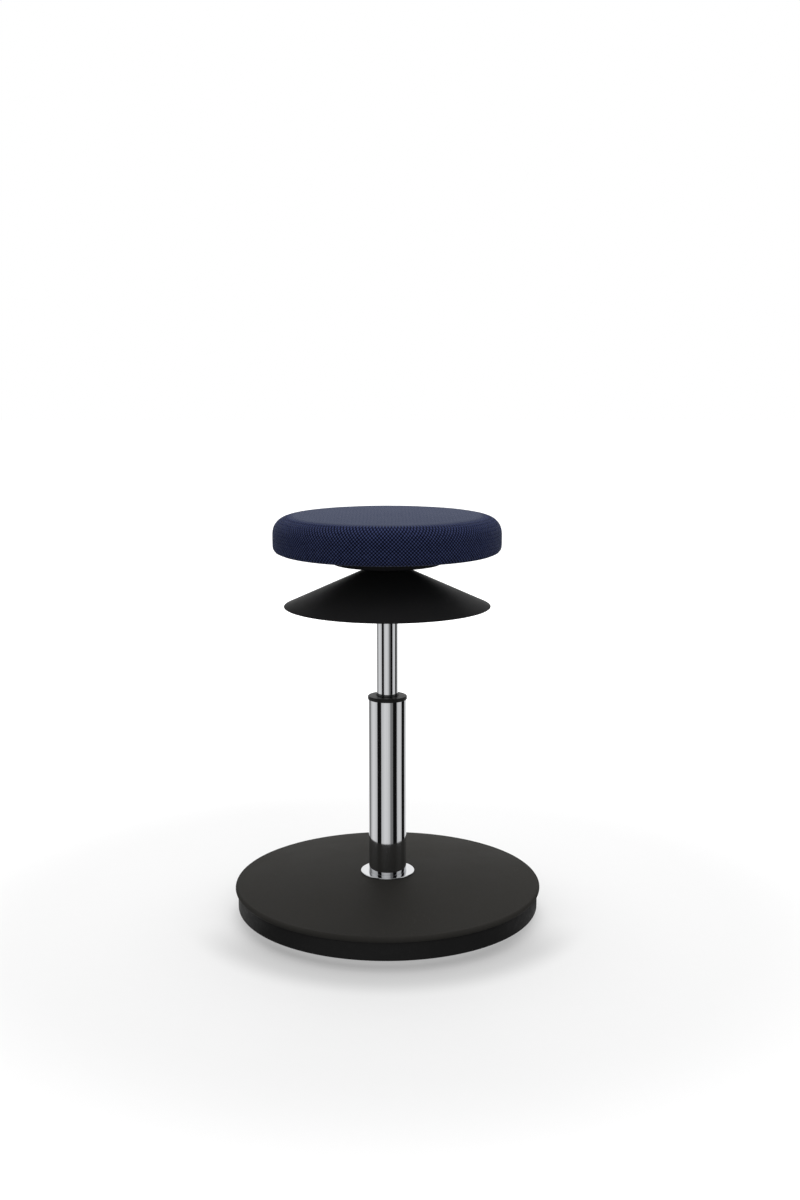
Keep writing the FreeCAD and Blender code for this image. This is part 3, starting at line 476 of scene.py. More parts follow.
def grain_group():
    """Fine pebbled grain of moulded plastic."""
    tree, given, result = new_group(
        "Moulded grain",
        {"Place": ("Vector", None), "Size": ("Float", 0.0006)},
        {"Height": "Float", "Speck": "Float"},
    )
    scale = calc(tree, "DIVIDE", 1.0, given["Size"])
    cells = add(tree, "ShaderNodeTexVoronoi", {"Vector": given["Place"], "Scale": scale},
                feature="SMOOTH_F1").outputs[0]
    fine = cloud(tree, given["Place"], times(tree, scale, 2.3), 2.0)
    tree.links.new(scaled(tree, fine, 0.35, cells), result["Height"])
    tree.links.new(ramp(tree, fine, 0.62, 0.8), result["Speck"])


def marks_group():
    """Uneven sheen left by hands, cloths and floors."""
    tree, given, result = new_group(
        "Handling marks",
        {"Place": ("Vector", None), "Scale": ("Float", 14.0)},
        {"Smudge": "Float", "Scratch": "Float"},
    )
    broad = cloud(tree, given["Place"], given["Scale"], 4.0, 0.6)
    tree.links.new(ramp(tree, broad, 0.35, 0.72), result["Smudge"])
    lines = cloud(tree, stretched(tree, given["Place"], (900.0, 60.0, 60.0)), 1.0, 1.0)
    sparse = cloud(tree, given["Place"], times(tree, given["Scale"], 2.0), 1.0)
    scratch = times(tree, ramp(tree, lines, 0.66, 0.7), ramp(tree, sparse, 0.55, 0.7))
    tree.links.new(scratch, result["Scratch"])


def dust_group():
    """Fine dust that settles on faces that look up."""
    tree, given, result = new_group(
        "Settled dust",
        {"Place": ("Vector", None), "Amount": ("Float", 0.1)},
        {"Mask": "Float"},
    )
    normal = add(tree, "ShaderNodeNewGeometry").outputs["Normal"]
    up = parts_of(tree, normal)[2]
    flecks = ramp(tree, cloud(tree, given["Place"], 420.0, 2.0), 0.5, 0.85)
    drift = ramp(tree, cloud(tree, given["Place"], 9.0, 3.0), 0.3, 0.75)
    thin = scaled(tree, drift, 0.6, times(tree, flecks, 0.8))
    amount = times(tree, times(tree, thin, ramp(tree, up, 0.5, 1.0)), given["Amount"])
    tree.links.new(calc(tree, "MINIMUM", amount, 1.0), result["Mask"])


def rim_group():
    """How far a point of a round piece is towards its worn rim, broken up by noise."""
    tree, given, result = new_group(
        "Rubbed rim",
        {"Place": ("Vector", None), "From": ("Float", 0.1), "To": ("Float", 0.11)},
        {"Mask": "Float"},
    )
    x, y, _ = parts_of(tree, given["Place"])
    rad = from_axis(tree, x, y)
    limits = {"Value": rad, "From Min": given["From"], "From Max": given["To"]}
    reach = add(tree, "ShaderNodeMapRange", limits).outputs[0]
    broken = ramp(tree, cloud(tree, given["Place"], 160.0, 4.0, 0.7), 0.48, 0.62)
    tree.links.new(times(tree, reach, broken), result["Mask"])


def painted(tree, node, given, result):
    """End a geometry tree with what a node makes, made real and given its finish."""
    real = add(tree, "GeometryNodeRealizeInstances", {0: node.outputs[0]}).outputs[0]
    shape = {"Geometry": real, "Material": given["Finish"]}
    tree.links.new(add(tree, "GeometryNodeSetMaterial", shape).outputs[0], result["Geometry"])


def ring_tree():
    """Geometry nodes that set copies of one piece round the Z axis."""
    tree, given, result = new_group(
        "Ring of pieces",
        {
            "Piece": ("Object", None),
            "Count": ("Int", 6),
            "Ring radius": ("Float", 0.05),
            "Height": ("Float", 0.0),
            "First turn": ("Float", 0.0),
            "Wobble": ("Float", 0.0),
            "Seed": ("Int", 3),
            "Finish": ("Material", None),
        },
        {"Geometry": "Geometry"},
        "GeometryNodeTree",
    )
    ring = {"Vertices": given["Count"], "Radius": given["Ring radius"]}
    circle = add(tree, "GeometryNodeMeshCircle", ring).outputs[0]
    spots = add(tree, "GeometryNodeTransform", {
        "Geometry": circle,
        "Translation": upward(tree, given["Height"]),
        "Rotation": upward(tree, given["First turn"]),
    }).outputs[0]
    index = add(tree, "GeometryNodeInputIndex").outputs[0]
    step = calc(tree, "DIVIDE", 2 * math.pi, given["Count"])
    least = times(tree, given["Wobble"], -1.0)
    limits = {2: least, 3: given["Wobble"], "Seed": given["Seed"]}
    askew = add(tree, "FunctionNodeRandomValue", limits, data_type="FLOAT").outputs[1]
    facing = total(tree, scaled(tree, index, step, given["First turn"]), askew)
    piece = add(tree, "GeometryNodeObjectInfo", {"Object": given["Piece"]}).outputs["Geometry"]
    copies = add(tree, "GeometryNodeInstanceOnPoints", {
        "Points": spots,
        "Instance": piece,
        "Rotation": upward(tree, facing),
    })
    painted(tree, copies, given, result)


def coil_tree():
    """Geometry nodes that wind a wire spring round the Z axis."""
    tree, given, result = new_group(
        "Wound spring",
        {
            "Turns": ("Float", 4.5),
            "Mean radius": ("Float", 0.02),
            "Low": ("Float", 0.0),
            "Rise": ("Float", 0.01),
            "Wire radius": ("Float", 0.0008),
            "Finish": ("Material", None),
        },
        {"Geometry": "Geometry"},
        "GeometryNodeTree",
    )
    wound = add(tree, "GeometryNodeCurveSpiral", {
        "Resolution": 48,
        "Rotations": given["Turns"],
        "Start Radius": given["Mean radius"],
        "End Radius": given["Mean radius"],
        "Height": given["Rise"],
    }).outputs[0]
    lifted = {"Geometry": wound, "Offset": upward(tree, given["Low"])}
    raised = add(tree, "GeometryNodeSetPosition", lifted).outputs[0]
    section = {"Resolution": 14, "Radius": given["Wire radius"]}
    wire = add(tree, "GeometryNodeCurvePrimitiveCircle", section).outputs[0]
    sweep = {"Curve": raised, "Profile Curve": wire, "Fill Caps": True}
    tube = add(tree, "GeometryNodeCurveToMesh", sweep).outputs[0]
    painted(tree, add(tree, "GeometryNodeSetShadeSmooth", {"Geometry": tube}), given, result)


def grown(name, group, values):
    """The plain piece that a geometry node tree makes from named values."""
    tree = bpy.data.node_groups[group]
    piece = new_object(name, bpy.data.meshes.new(name))
    maker = piece.modifiers.new("maker", "NODES")
    maker.node_group = tree
    for item in tree.interface.items_tree:
        if item.in_out == "INPUT" and item.name in values:
            maker[item.identifier] = values[item.name]
    plain(piece)
    for face in piece.data.polygons:
        face.material_index = 0
    piece.data.materials.clear()
    piece.data.materials.append(values["Finish"])
    return piece


def ring_of(name, template, count, ring_rad, height, slot, first_turn=0.0, wobble=0.0):
    """A ring of equal pieces made from one template, which is used up."""
    piece = grown(name, "Ring of pieces", {
        "Piece": template,
        "Count": count,
        "Ring radius": ring_rad,
        "Height": height,
        "First turn": first_turn,
        "Wobble": wobble,
        "Finish": finish_of(slot),
    })
    bpy.data.objects.remove(template)
    return piece


# Finishes

def new_finish(name, **values):
    """A material with one shader, its plain values set, and the place that patterns read."""
    material = bpy.data.materials.new(name + " finish")
    material.use_nodes = True
    tree = material.node_tree
    for key, value in values.items():
        socket = key.replace("_", " ").title().replace("Ior", "IOR")
        tree.nodes["Principled BSDF"].inputs[socket].default_value = opaque(value)
    return material, tree, add(tree, "ShaderNodeTexCoord").outputs["Object"]


def link(material, **made):
    """Link values made in a material's tree to the sockets of its shader."""
    tree = material.node_tree
    for key, value in made.items():
        socket = key.replace("_", " ").title()
        tree.links.new(value, tree.nodes["Principled BSDF"].inputs[socket])
    return material


def dress(material, base_color, roughness, relief, distance):
    """Give a material its colour and roughness, and a relief of some height."""
    inputs = {"Height": relief, "Distance": distance, "Strength": 1.0}
    normal = add(material.node_tree, "ShaderNodeBump", inputs).outputs[0]
    return link(material, base_color=base_color, roughness=roughness, normal=normal)


def navy_cloth(kit):
    """Chunky navy weave, slanting threads, with pale fuzz at a flat angle, painted shade between
    the threads and a painted sheen on the flat top.
    """
    seat_rad = far("seat_cover")
    material, tree, place = new_finish(
        "fabric_navy", sheen_weight=kit.fuzz, sheen_roughness=kit.fuzz_spread,
        sheen_tint=shade(214, 220, 240), specular_ior_level=0.0)
    x, y, z = parts_of(tree, place)
    rad = from_axis(tree, x, y)
    count = kit.threads
    pitch = 2 * math.pi * seat_rad / (math.sqrt(2) * count)
    slant = 1 / (math.sqrt(2) * pitch)
    turn = times(tree, calc(tree, "ARCTAN2", y, x), count / (2 * math.pi))
    drop = times(tree, z, slant)
    wavy = cloud(tree, place, 22.0, 2.0)
    wander = scaled(tree, wavy, 0.5, -0.25)
    side = placed(tree, "Woven threads", {
        "First": total(tree, total(tree, turn, drop), wander),
        "Second": total(tree, calc(tree, "SUBTRACT", turn, drop), wander),
    })
    flat_x, flat_y = times(tree, x, slant), times(tree, y, slant)
    top = placed(tree, "Woven threads", {
        "First": total(tree, total(tree, flat_x, flat_y), wander),
        "Second": total(tree, calc(tree, "SUBTRACT", flat_x, flat_y), wander),
    })
    on_side = times(tree, ramp(tree, rad, 0.113, 0.121),
                    ramp(tree, z, low("seat_cover") + 0.2 * MM, low("seat_cover") + 1.2 * MM))
    crest, ply = (blend(tree, on_side, top[name], side[name]) for name in ("Height", "Ply"))
    fibre = cloud(tree, place, 2600.0, 3.0)
    slub = cloud(tree, place, 240.0, 2.0)
    broad = cloud(tree, place, 12.0, 3.0)
    relief = scaled(tree, ply, 0.10, scaled(tree, fibre, 0.25, crest))
    # The weave's colour follows its height: crests take the thread colour, hollows the near-black
    # gap colour, partly the yarn's tone and partly painted shade between the threads.
    uneven = scaled(tree, slub, 0.3, calc(tree, "SUBTRACT", crest, 0.15))
    cloth = tint(tree, ramp(tree, uneven, 0.42, 0.98), kit.gap, kit.thread)
    # Painted sheen: this mask tints the flat top, out to about 0.12 m, in uneven patches towards
    # the pale top colour that stands in for light caught at a flat angle, and flattens its threads.
    patchy = scaled(tree, ramp(tree, broad, 0.3, 0.8), 0.12, 0.82)
    wear_and_sheen = times(tree, patchy, ramp(tree, rad, 0.131, 0.119))
    top_sheen_mask = times(tree, wear_and_sheen, ramp(tree, z, high("seat_board"), high("seat_cover") - 8 * MM))
    flatter = times(tree, relief, scaled(tree, top_sheen_mask, -0.8, 1.0))
    return dress(material, tint(tree, top_sheen_mask, cloth, kit.top_sheen_paint), span(tree, fibre, 0.82, 0.98),
                 flatter, kit.relief)


def lining_cloth():
    """Thin black dust cloth with a pressed dimple pattern."""
    material, tree, place = new_finish("lining_black", sheen_weight=0.15, specular_ior_level=0.2)
    dimples = add(tree, "ShaderNodeTexVoronoi", {"Vector": place, "Scale": 620.0},
                  feature="SMOOTH_F1").outputs[0]
    fibre = cloud(tree, stretched(tree, place, (900.0, 2600.0, 900.0)), 1.0, 4.0)
    broad = cloud(tree, place, 16.0, 3.0)
    dark = tint(tree, fibre, shade(15, 15, 16), shade(35, 35, 37))
    worn = tint(tree, times(tree, broad, 0.3), dark, shade(48, 47, 46))
    return dress(material, worn, span(tree, fibre, 0.8, 1.0), total(tree, dimples, fibre),
                 0.15 * MM)


def moulded_plastic(name, base, grain, rim, rough=0.42, gloss=0.35, dust=0.1):
    """Moulded plastic with grain, handling marks, a worn rim and a little dust."""
    material, tree, place = new_finish(name, specular_ior_level=gloss)
    pebbles = placed(tree, "Moulded grain", {"Place": place, "Size": grain})
    marks = placed(tree, "Handling marks", {"Place": place, "Scale": 9.0})
    wear_and_sheen = placed(tree, "Rubbed rim", {"Place": place, "From": rim[0], "To": rim[1]})["Mask"]
    dusty = placed(tree, "Settled dust", {"Place": place, "Amount": dust})["Mask"]
    broad = cloud(tree, place, 5.0, 2.0)
    uneven = tint(tree, broad, toned(base, 0.9), toned(base, 1.1))
    pale = [part * 1.7 + 0.006 for part in base]
    worn = tint(tree, times(tree, wear_and_sheen, 0.04), uneven, pale)
    scored = tint(tree, times(tree, marks["Scratch"], 0.25), worn, pale)
    sheen = scaled(tree, marks["Smudge"], 0.10, rough - 0.05)
    matt = scaled(tree, dusty, 0.3, scaled(tree, wear_and_sheen, -0.08, sheen))
    relief = scaled(tree, marks["Scratch"], -0.6, pebbles["Height"])
    dusted = tint(tree, dusty, scored, shade(150, 146, 138))
    return dress(material, dusted, matt, relief, grain * 0.06)


def bright_chrome(kit):
    """Polished chrome with faint upright polishing lines and the odd smudge."""
    material, tree, place = new_finish("chrome", metallic=1.0)
    lines = cloud(tree, stretched(tree, place, (900.0, 900.0, 7.0)), 1.0, 3.0)
    marks = placed(tree, "Handling marks", {"Place": place, "Scale": 26.0})
    lined = tint(tree, lines, toned(kit.chrome, 0.93), toned(kit.chrome, 1.04))
    hazy = scaled(tree, marks["Smudge"], 0.035, kit.polish)
    rough = scaled(tree, marks["Scratch"], 0.08, hazy)
    relief = calc(tree, "SUBTRACT", lines, marks["Scratch"])
    return dress(material, lined, rough, relief, 0.002 * MM)


def worked_metal(name, base, rough, lines=(420.0, 420.0, 30.0), metallic=1.0, pits=0.0):
    """Bare, plated, painted or cast metal, with tool lines or pits."""
    material, tree, place = new_finish(name, metallic=metallic, specular_ior_level=0.4)
    tooled = cloud(tree, stretched(tree, place, lines), 1.0, 4.0)
    stain = cloud(tree, place, 60.0, 4.0, 0.65)
    pitted = cloud(tree, place, 700.0, 3.0, 0.7)
    marks = placed(tree, "Handling marks", {"Place": place, "Scale": 40.0})
    uneven = tint(tree, tooled, toned(base, 0.82), toned(base, 1.1))
    spots = times(tree, ramp(tree, stain, 0.5, 0.75), 0.3)
    hazy = scaled(tree, marks["Smudge"], 0.12, rough)
    relief = scaled(tree, pitted, pits, tooled)
    return dress(material, tint(tree, spots, uneven, toned(base, 0.6)), hazy, relief,
                 (0.01 + 0.12 * pits) * MM)


def black_rubber():
    """Matt rubber with a bloom of dust and fine pores."""
    material, tree, place = new_finish("rubber_black", specular_ior_level=0.3)
    pebbles = placed(tree, "Moulded grain", {"Place": place, "Size": 0.5 * MM})
    marks = placed(tree, "Handling marks", {"Place": place, "Scale": 30.0})
    grey = tint(tree, times(tree, marks["Smudge"], 0.5), shade(18, 18, 18), shade(52, 51, 49))
    scored = tint(tree, marks["Scratch"], grey, shade(80, 78, 74))
    return dress(material, scored, span(tree, marks["Smudge"], 0.72, 0.9), pebbles["Height"],
                 0.05 * MM)


def seat_foam():
    """Open foam, pale cream with small cells."""
    material, tree, place = new_finish("foam", specular_ior_level=0.1)
    cells = add(tree, "ShaderNodeTexVoronoi", {"Vector": place, "Scale": 900.0}).outputs[0]
    broad = cloud(tree, place, 20.0)
    creamy = tint(tree, broad, shade(214, 204, 172), shade(196, 182, 144))
    open_cells = tint(tree, ramp(tree, cells, 0.1, 0.5), shade(120, 108, 80), creamy)
    return dress(material, open_cells, span(tree, cells, 0.8, 1.0), cells, 0.3 * MM)


def birch_plywood():
    """Plywood with long grain on its faces and plies on its edge."""
    material, tree, place = new_finish("plywood", specular_ior_level=0.3)
    long_grain = cloud(tree, stretched(tree, place, (14.0, 320.0, 320.0)), 1.0, 5.0, 0.6)
    height = parts_of(tree, place)[2]
    plies = calc(tree, "PINGPONG", times(tree, height, 700.0), 1.0)
    wood = tint(tree, long_grain, shade(222, 192, 146), shade(176, 138, 92))
    edge = tint(tree, ramp(tree, plies, 0.35, 0.65), shade(150, 108, 68), wood)
    return dress(material, edge, span(tree, long_grain, 0.5, 0.7), long_grain, 0.12 * MM)


def make_finishes(scene):
    """Every material of the stool, by the name of its slot in the record."""
    plastic, metal = scene.stool_plastic, scene.stool_metal
    cone_rims = (far("release_cone") - 3 * MM, far("release_cone"))
    cover_rims = (far("base_cover") - 4 * MM, far("base_cover"))
    return {
        "fabric_navy": navy_cloth(scene.stool_cloth),
        "lining_black": lining_cloth(),
        "foam": seat_foam(),
        "plywood": birch_plywood(),
        "plastic_black": moulded_plastic("plastic_black", plastic.cone, plastic.grain, cone_rims,
                                         rough=0.45, gloss=0.009, dust=0.02),
        "plastic_base": moulded_plastic("plastic_base", plastic.cover, plastic.grain, cover_rims,
                                        rough=0.6, gloss=0.02, dust=0.02),
        "plastic_shell": moulded_plastic("plastic_shell", plastic.shell, plastic.grain * 1.5,
                                         (far("rocker_shell") - 6 * MM, far("rocker_shell")),
                                         rough=0.6, gloss=0.05, dust=0.0),
        "plastic_guide": moulded_plastic("plastic_guide", plastic.guide, plastic.grain * 0.7,
                                         (far("guide_bush") - 1 * MM, far("guide_bush")),
                                         rough=0.45, gloss=0.1, dust=0.02),
        "chrome": bright_chrome(metal),
        "steel_bare": worked_metal("steel_bare", metal.steel, 0.3),
        "steel_black": worked_metal("steel_black", shade(30, 30, 31), 0.45, metallic=0.0, pits=0.2),
        "steel_zinc": worked_metal("steel_zinc", metal.zinc, 0.34, (90.0, 90.0, 90.0)),
        "cast_iron": worked_metal("cast_iron", shade(62, 61, 60), 0.7, (60.0, 60.0, 60.0),
                                  metallic=0.6, pits=1.0),
        "brass": worked_metal("brass", shade(198, 168, 104), 0.32),
        "rubber_black": black_rubber(),
    }


def finish_of(slot):
    """A material that is already made."""
    return bpy.data.materials[slot + " finish"]


# Pieces of the base

class STOOL_OT_finishes(bpy.types.Operator):
    """Make the shared node groups and every material, and give each solid its finish"""

    bl_idname = "stool.finishes"
    bl_label = "Finishes"

    def execute(self, context):
        for make in (woven_group, grain_group, marks_group, dust_group, rim_group,
                     ring_tree, coil_tree):
            make()
        finishes = make_finishes(context.scene)
        for row in frame["record"]["subparts"]:
            solid = frame["nodes"][row["node"]].data
            solid.materials.clear()
            solid.materials.append(finishes[row["material_slot"]])
        return {"FINISHED"}


class STOOL_OT_floor_pad(bpy.types.Operator):
    """Make the rubber pad under the base, with its two round grooves"""

    bl_idname = "stool.floor_pad"
    bl_label = "Floor pad"

    def execute(self, context):
        rad, thick = far("floor_pad"), high("floor_pad")
        deep, soft = 0.6 * MM, 0.2 * MM
        grooves = ((28 * MM, 31 * MM), (46 * MM, 49 * MM))
        bends = [(0, 0, 0)]
        for near, off in grooves:
            bends += [(near, 0, soft), (near, deep, soft), (off, deep, soft), (off, 0, soft)]
        bends += [(rad, 0, 0.5 * MM), (rad, thick, 0.3 * MM), (0, thick, 0)]
        lathe("floor_pad_rubber", rounded(bends, 3), "rubber_black", "base", "floor_pad")
        return {"FINISHED"}


class STOOL_OT_rocker_shell(bpy.types.Operator):
    """Make the lower housing, domed underneath, with its sunk screws"""

    bl_idname = "stool.rocker_shell"
    bl_label = "Rocker shell"

    def execute(self, context):
        smooth_copy("rocker_shell", "rocker_housing", "plastic_shell", "base")
        ring_rad, head_z = 178 * MM, 13 * MM
        screw = cross_screw(4.6 * MM, 2.8 * MM, 2 * MM, 20 * MM)
        screws = ring_of("housing_screws", screw, 6, ring_rad, head_z, "steel_black")
        settle(screws, "base", "steel_black", "shell_screws")
        return {"FINISHED"}


def cross_screw(head_rad, head_thick, shank_rad, reach):
    """One screw, head down, its seat at the origin, with a cross recess."""
    outline = rounded([
        (0, -head_thick, 0),
        (head_rad, -head_thick, head_thick * 0.6),
        (head_rad, 0, 0.2 * MM),
        (shank_rad, 0, 0),
        (shank_rad, reach, 0.3 * MM),
        (0, reach, 0),
    ])
    screw = turned("screw", outline, turns=40)
    blades = []
    for wide, deep in ((head_rad * 1.1, head_rad * 0.22), (head_rad * 0.22, head_rad * 1.1)):
        work = bmesh.new()
        bmesh.ops.create_cube(work, size=1.0)
        for vert in work.verts:
            taper = 0.55 if vert.co.z > 0 else 1.0
            vert.co = Vector((vert.co.x * wide * taper, vert.co.y * deep * taper,
                              vert.co.z * head_thick * 1.4 - head_thick))
        blades.append(new_object("blade", mesh_of(work, "blade")))
    return cut(screw, *blades)


class STOOL_OT_base_cover(bpy.types.Operator):
    """Make the gently domed cover of the base and the bright ring on it"""

    bl_idname = "stool.base_cover"
    bl_label = "Base cover"

    def execute(self, context):
        rad, top = far("base_cover"), high("base_cover")
        seat_z = high("rocker_shell")
        lip = 7.7 * MM
        edge_rad, edge_z = rad - lip / 2, seat_z + lip / 2
        wall, ring_seat, hole = 4 * MM, 37 * MM, 26 * MM
        inner_rad = far("rocker_shell") - 4.5 * MM
        rib_rad, rib_z = inner_rad - 3 * MM, seat_z - 4 * MM
        upper = domed((edge_rad, seat_z + lip), (ring_seat, top), 40)
        inside = [point for point in reversed(upper) if point.x < inner_rad - wall]
        lower = [point - Vector((0, wall)) for point in inside]
        outline = [
            (hole, top - wall),
            (ring_seat, top - wall),
            *lower,
            (rib_rad, lower[-1].y),
            (rib_rad, rib_z),
            (inner_rad, rib_z),
            (inner_rad, seat_z),
            *arc((edge_rad, edge_z), lip / 2, -math.pi / 2, math.pi / 2, 20),
            *upper,
            (ring_seat, top),
            (hole, top),
        ]
        lathe("base_top", outline, "plastic_base", "base", "base_cover")
        return {"FINISHED"}


class STOOL_OT_column(bpy.types.Operator):
    """Make the bright outer tube, its trim ring, the black collar and the gas cylinder"""

    bl_idname = "stool.column"
    bl_label = "Column"

    def execute(self, context):
        tube_rad, tube_top, tube_low = far("column_tube"), high("column_tube"), low("column_tube")
        bore, taper_z = 23 * MM, 54 * MM
        rod_hole, floor_top = 5.2 * MM, tube_low + 3 * MM
        lean = (taper_z - tube_low) * 0.023
        lathe("outer_tube", rounded([
            (bore - lean - 0.5 * MM, floor_top, 0),
            (rod_hole, floor_top, 0),
            (rod_hole, tube_low, 0.3 * MM),
            (tube_rad - lean, tube_low, 1 * MM),
            (tube_rad, taper_z, 0),
            (tube_rad, tube_top, 0.5 * MM),
            (bore, tube_top, 0.3 * MM),
            (bore, taper_z, 0),
        ]), "chrome", "base", "column_tube")
        ring_rad, ring_low, ring_top = far("column_ring"), low("column_ring"), high("column_ring")
        lathe("trim_ring", rounded([
            (tube_rad, ring_low, 0),
            (ring_rad, ring_low, 0.2 * MM),
            (ring_rad, ring_top, 0.8 * MM),
            (tube_rad + 0.02 * MM, ring_top, 0.3 * MM),
        ]), "chrome", "base", "column_ring")
        collar_rad, collar_top = far("guide_bush"), high("guide_bush")
        bush_low, slide = low("guide_bush"), 14.05 * MM
        lathe("guide_collar", rounded([
            (slide, bush_low, 0.4 * MM),
            (bore, bush_low, 0.6 * MM),
            (bore, tube_top, 0),
            (collar_rad, tube_top, 0.4 * MM),
            (collar_rad, collar_top, 1.2 * MM),
            (slide + 1.6 * MM, collar_top, 0.5 * MM),
            (slide, collar_top - 1.2 * MM, 0.2 * MM),
        ]), "plastic_guide", "base", "guide_bush")
        lift_rad, lift_low = far("gas_cylinder"), low("gas_cylinder")
        lift_top, socket_z = high("gas_cylinder"), low("taper_socket")
        narrow = (lift_top - socket_z) * 0.025
        wall, mouth = 1.5 * MM, 8 * MM
        lathe("gas_tube", rounded([
            (mouth, lift_low, 0.3 * MM),
            (lift_rad, lift_low, 0.8 * MM),
            (lift_rad, socket_z, 0),
            (lift_rad - narrow, lift_top, 0.3 * MM),
            (lift_rad - narrow - wall, lift_top, 0.3 * MM),
            (lift_rad - wall, socket_z, 0),
            (lift_rad - wall, lift_low + wall, 0),
            (mouth, lift_low + wall, 0.3 * MM),
        ]), "chrome", "seat", "gas_cylinder")
        return {"FINISHED"}


class STOOL_OT_release(bpy.types.Operator):
    """Make the release cone, its hub, the return spring and the smooth metal round them"""

    bl_idname = "stool.release"
    bl_label = "Release cone"

    def execute(self, context):
        rim_rad, rim_z, lip_z = far("release_cone"), low("release_cone"), high("release_cone")
        lip_rad, wall = 28 * MM, 3.3 * MM
        slope = (lip_z - rim_z) / (rim_rad - lip_rad)
        inner_rim = rim_rad - wall / slope
        upper = along((rim_rad, rim_z), (lip_rad, lip_z), 12)
        under = along((lip_rad, lip_z - wall), (inner_rim, rim_z), 12)
        lathe("release_bell", [
            (lip_rad, lip_z),
            (lip_rad, lip_z - wall),
            *under,
            (inner_rim, rim_z),
            (rim_rad - 0.5 * MM, rim_z),
            (rim_rad - 0.08 * MM, rim_z + 0.1 * MM),
            (rim_rad - 0.2 * MM, rim_z + 0.2 * MM),
            *upper,
        ], "plastic_black", "release", "release_cone")
        smooth_copy("cone_hub", "release_hub", "plastic_black", "release")
        spring_low, spring_top = low("return_spring"), high("return_spring")
        wire, coil_rad, rise = 0.8 * MM, 20.1 * MM, 3.2 * MM
        spring = grown("release_spring", "Wound spring", {
            "Turns": 4.5,
            "Mean radius": coil_rad,
            "Low": spring_low + wire,
            "Rise": spring_top - spring_low - 2 * wire,
            "Wire radius": wire,
            "Finish": finish_of("steel_bare"),
        })
        settle(spring, "seat", "steel_bare", "return_spring")
        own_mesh(spring)
        for number in (1, 2, 3):
            body = f"lever_{number}"
            smooth_copy("release_" + body, body + "_crank", "steel_zinc", body)
        return {"FINISHED"}


class STOOL_OT_under_seat(bpy.types.Operator):
    """Make the dish under the seat, its screws, the socket and the steel plate"""

    bl_idname = "stool.under_seat"
    bl_label = "Under the seat"

    def execute(self, context):
        smooth_copy("underplate_cover", "seat_dish", "plastic_black", "seat")
        smooth_copy("taper_socket", "lift_socket", "steel_bare", "seat")
        smooth_copy("socket_clip", "hub_clip", "steel_black", "seat")
        smooth_copy("seat_plate", "steel_plate", "steel_black", "seat")
        smooth_copy("lever_bracket", "fork_bracket", "steel_zinc", "seat")
        smooth_copy("valve_pin", "valve_button_pin", "steel_bare", "valve_button")
        ring_rad, head_z = 60 * MM, 475.1 * MM
        screw = cross_screw(2.9 * MM, 1.6 * MM, 1.5 * MM, 13 * MM)
        screws = ring_of("dish_screws", screw, 3, ring_rad, head_z, "steel_black",
                         math.radians(30))
        settle(screws, "seat", "steel_black", "underplate_screws")
        return {"FINISHED"}


# The seat cushion

def cushion_outline(kit, inset):
    """The cushion's outline from the board's top, round the board's edge, to the top's middle."""
    rad, top, foot = far("seat_cover"), high("seat_cover"), low("seat_cover")
    board_rad, board_top = far("seat_board") + 0.4 * MM, high("seat_board") + 0.2 * MM
    turn = kit.fall_turn
    edge = (rad - kit.flat_rad - kit.fall_rad * math.sin(turn)) / (1 - math.sin(turn))
    fall_z = top - kit.fall_rad
    edge_x = kit.flat_rad + (kit.fall_rad - edge) * math.sin(turn)
    edge_z = fall_z + (kit.fall_rad - edge) * math.cos(turn)
    low_x, low_z = rad - kit.low_round, foot + kit.low_round
    quarter = math.pi / 2
    return [
        Vector((0, board_top)),
        Vector((board_rad, board_top)),
        Vector((board_rad, foot)),
        *arc((low_x, low_z), kit.low_round - inset, -quarter, 0, 8),
        *arc((edge_x, edge_z), edge - inset, 0, quarter - turn, 12),
        *arc((kit.flat_rad, fall_z), kit.fall_rad - inset, quarter - turn, quarter, 6),
        Vector((0, top - inset)),
    ]


def inflate(piece, kit):
    """Fill the cushion like cloth under pressure and keep the shape that it takes."""
    board_rad, board_top = far("seat_board"), high("seat_board")
    foot = low("seat_cover")
    held = piece.vertex_groups.new(name="held")
    for vert in piece.data.vertices:
        inside = polar(vert.co)[0] < board_rad + 1.5 * MM
        if inside and vert.co.z < board_top + 2 * MM or vert.co.z < foot + 1.2 * MM:
            held.add([vert.index], 1.0, "REPLACE")
    start = [vert.co.copy() for vert in piece.data.vertices]
    cloth = piece.modifiers.new("cloth", "CLOTH")
    cloth.settings.use_pressure = True
    cloth.settings.uniform_pressure_force = kit.pressure
    cloth.settings.effector_weights.gravity = 0.0
    cloth.settings.vertex_group_mass = held.name
    cloth.settings.quality = 5
    cloth.point_cache.frame_start = 1
    cloth.point_cache.frame_end = kit.frames
    for now in range(1, kit.frames + 1):
        bpy.context.scene.frame_set(now)
    plain(piece)
    bpy.context.scene.frame_set(1)
    for vert, before in zip(piece.data.vertices, start):
        shift = vert.co - before
        cap = kit.start_inset + crown_at(before, kit)
        if shift.length > cap:
            vert.co = before + shift.normalized() * cap
    piece.vertex_groups.clear()


def hug(piece, kit):
    """Draw the filled cloth most of the way to the firm foam's own outline."""
    outline = cushion_outline(kit, 0.0)
    board_rad, board_top = far("seat_board") + 2 * MM, high("seat_board") + 2 * MM
    for vert in piece.data.vertices:
        here = Vector((polar(vert.co)[0], vert.co.z))
        if here.x < board_rad and here.y < board_top:
            continue
        best = None
        for start, end in zip(outline[2:], outline[3:]):
            step = end - start
            spot = start + step * unit((here - start).dot(step) / max(step.length_squared, 1e-12))
            if best is None or (spot - here).length_squared < (best - here).length_squared:
                best = spot
        moved = here.lerp(best + Vector((0, crown_at(vert.co, kit))), kit.hug)
        if here.x > 1 * MM:
            vert.co.x *= moved.x / here.x
            vert.co.y *= moved.x / here.x
        vert.co.z = moved.y


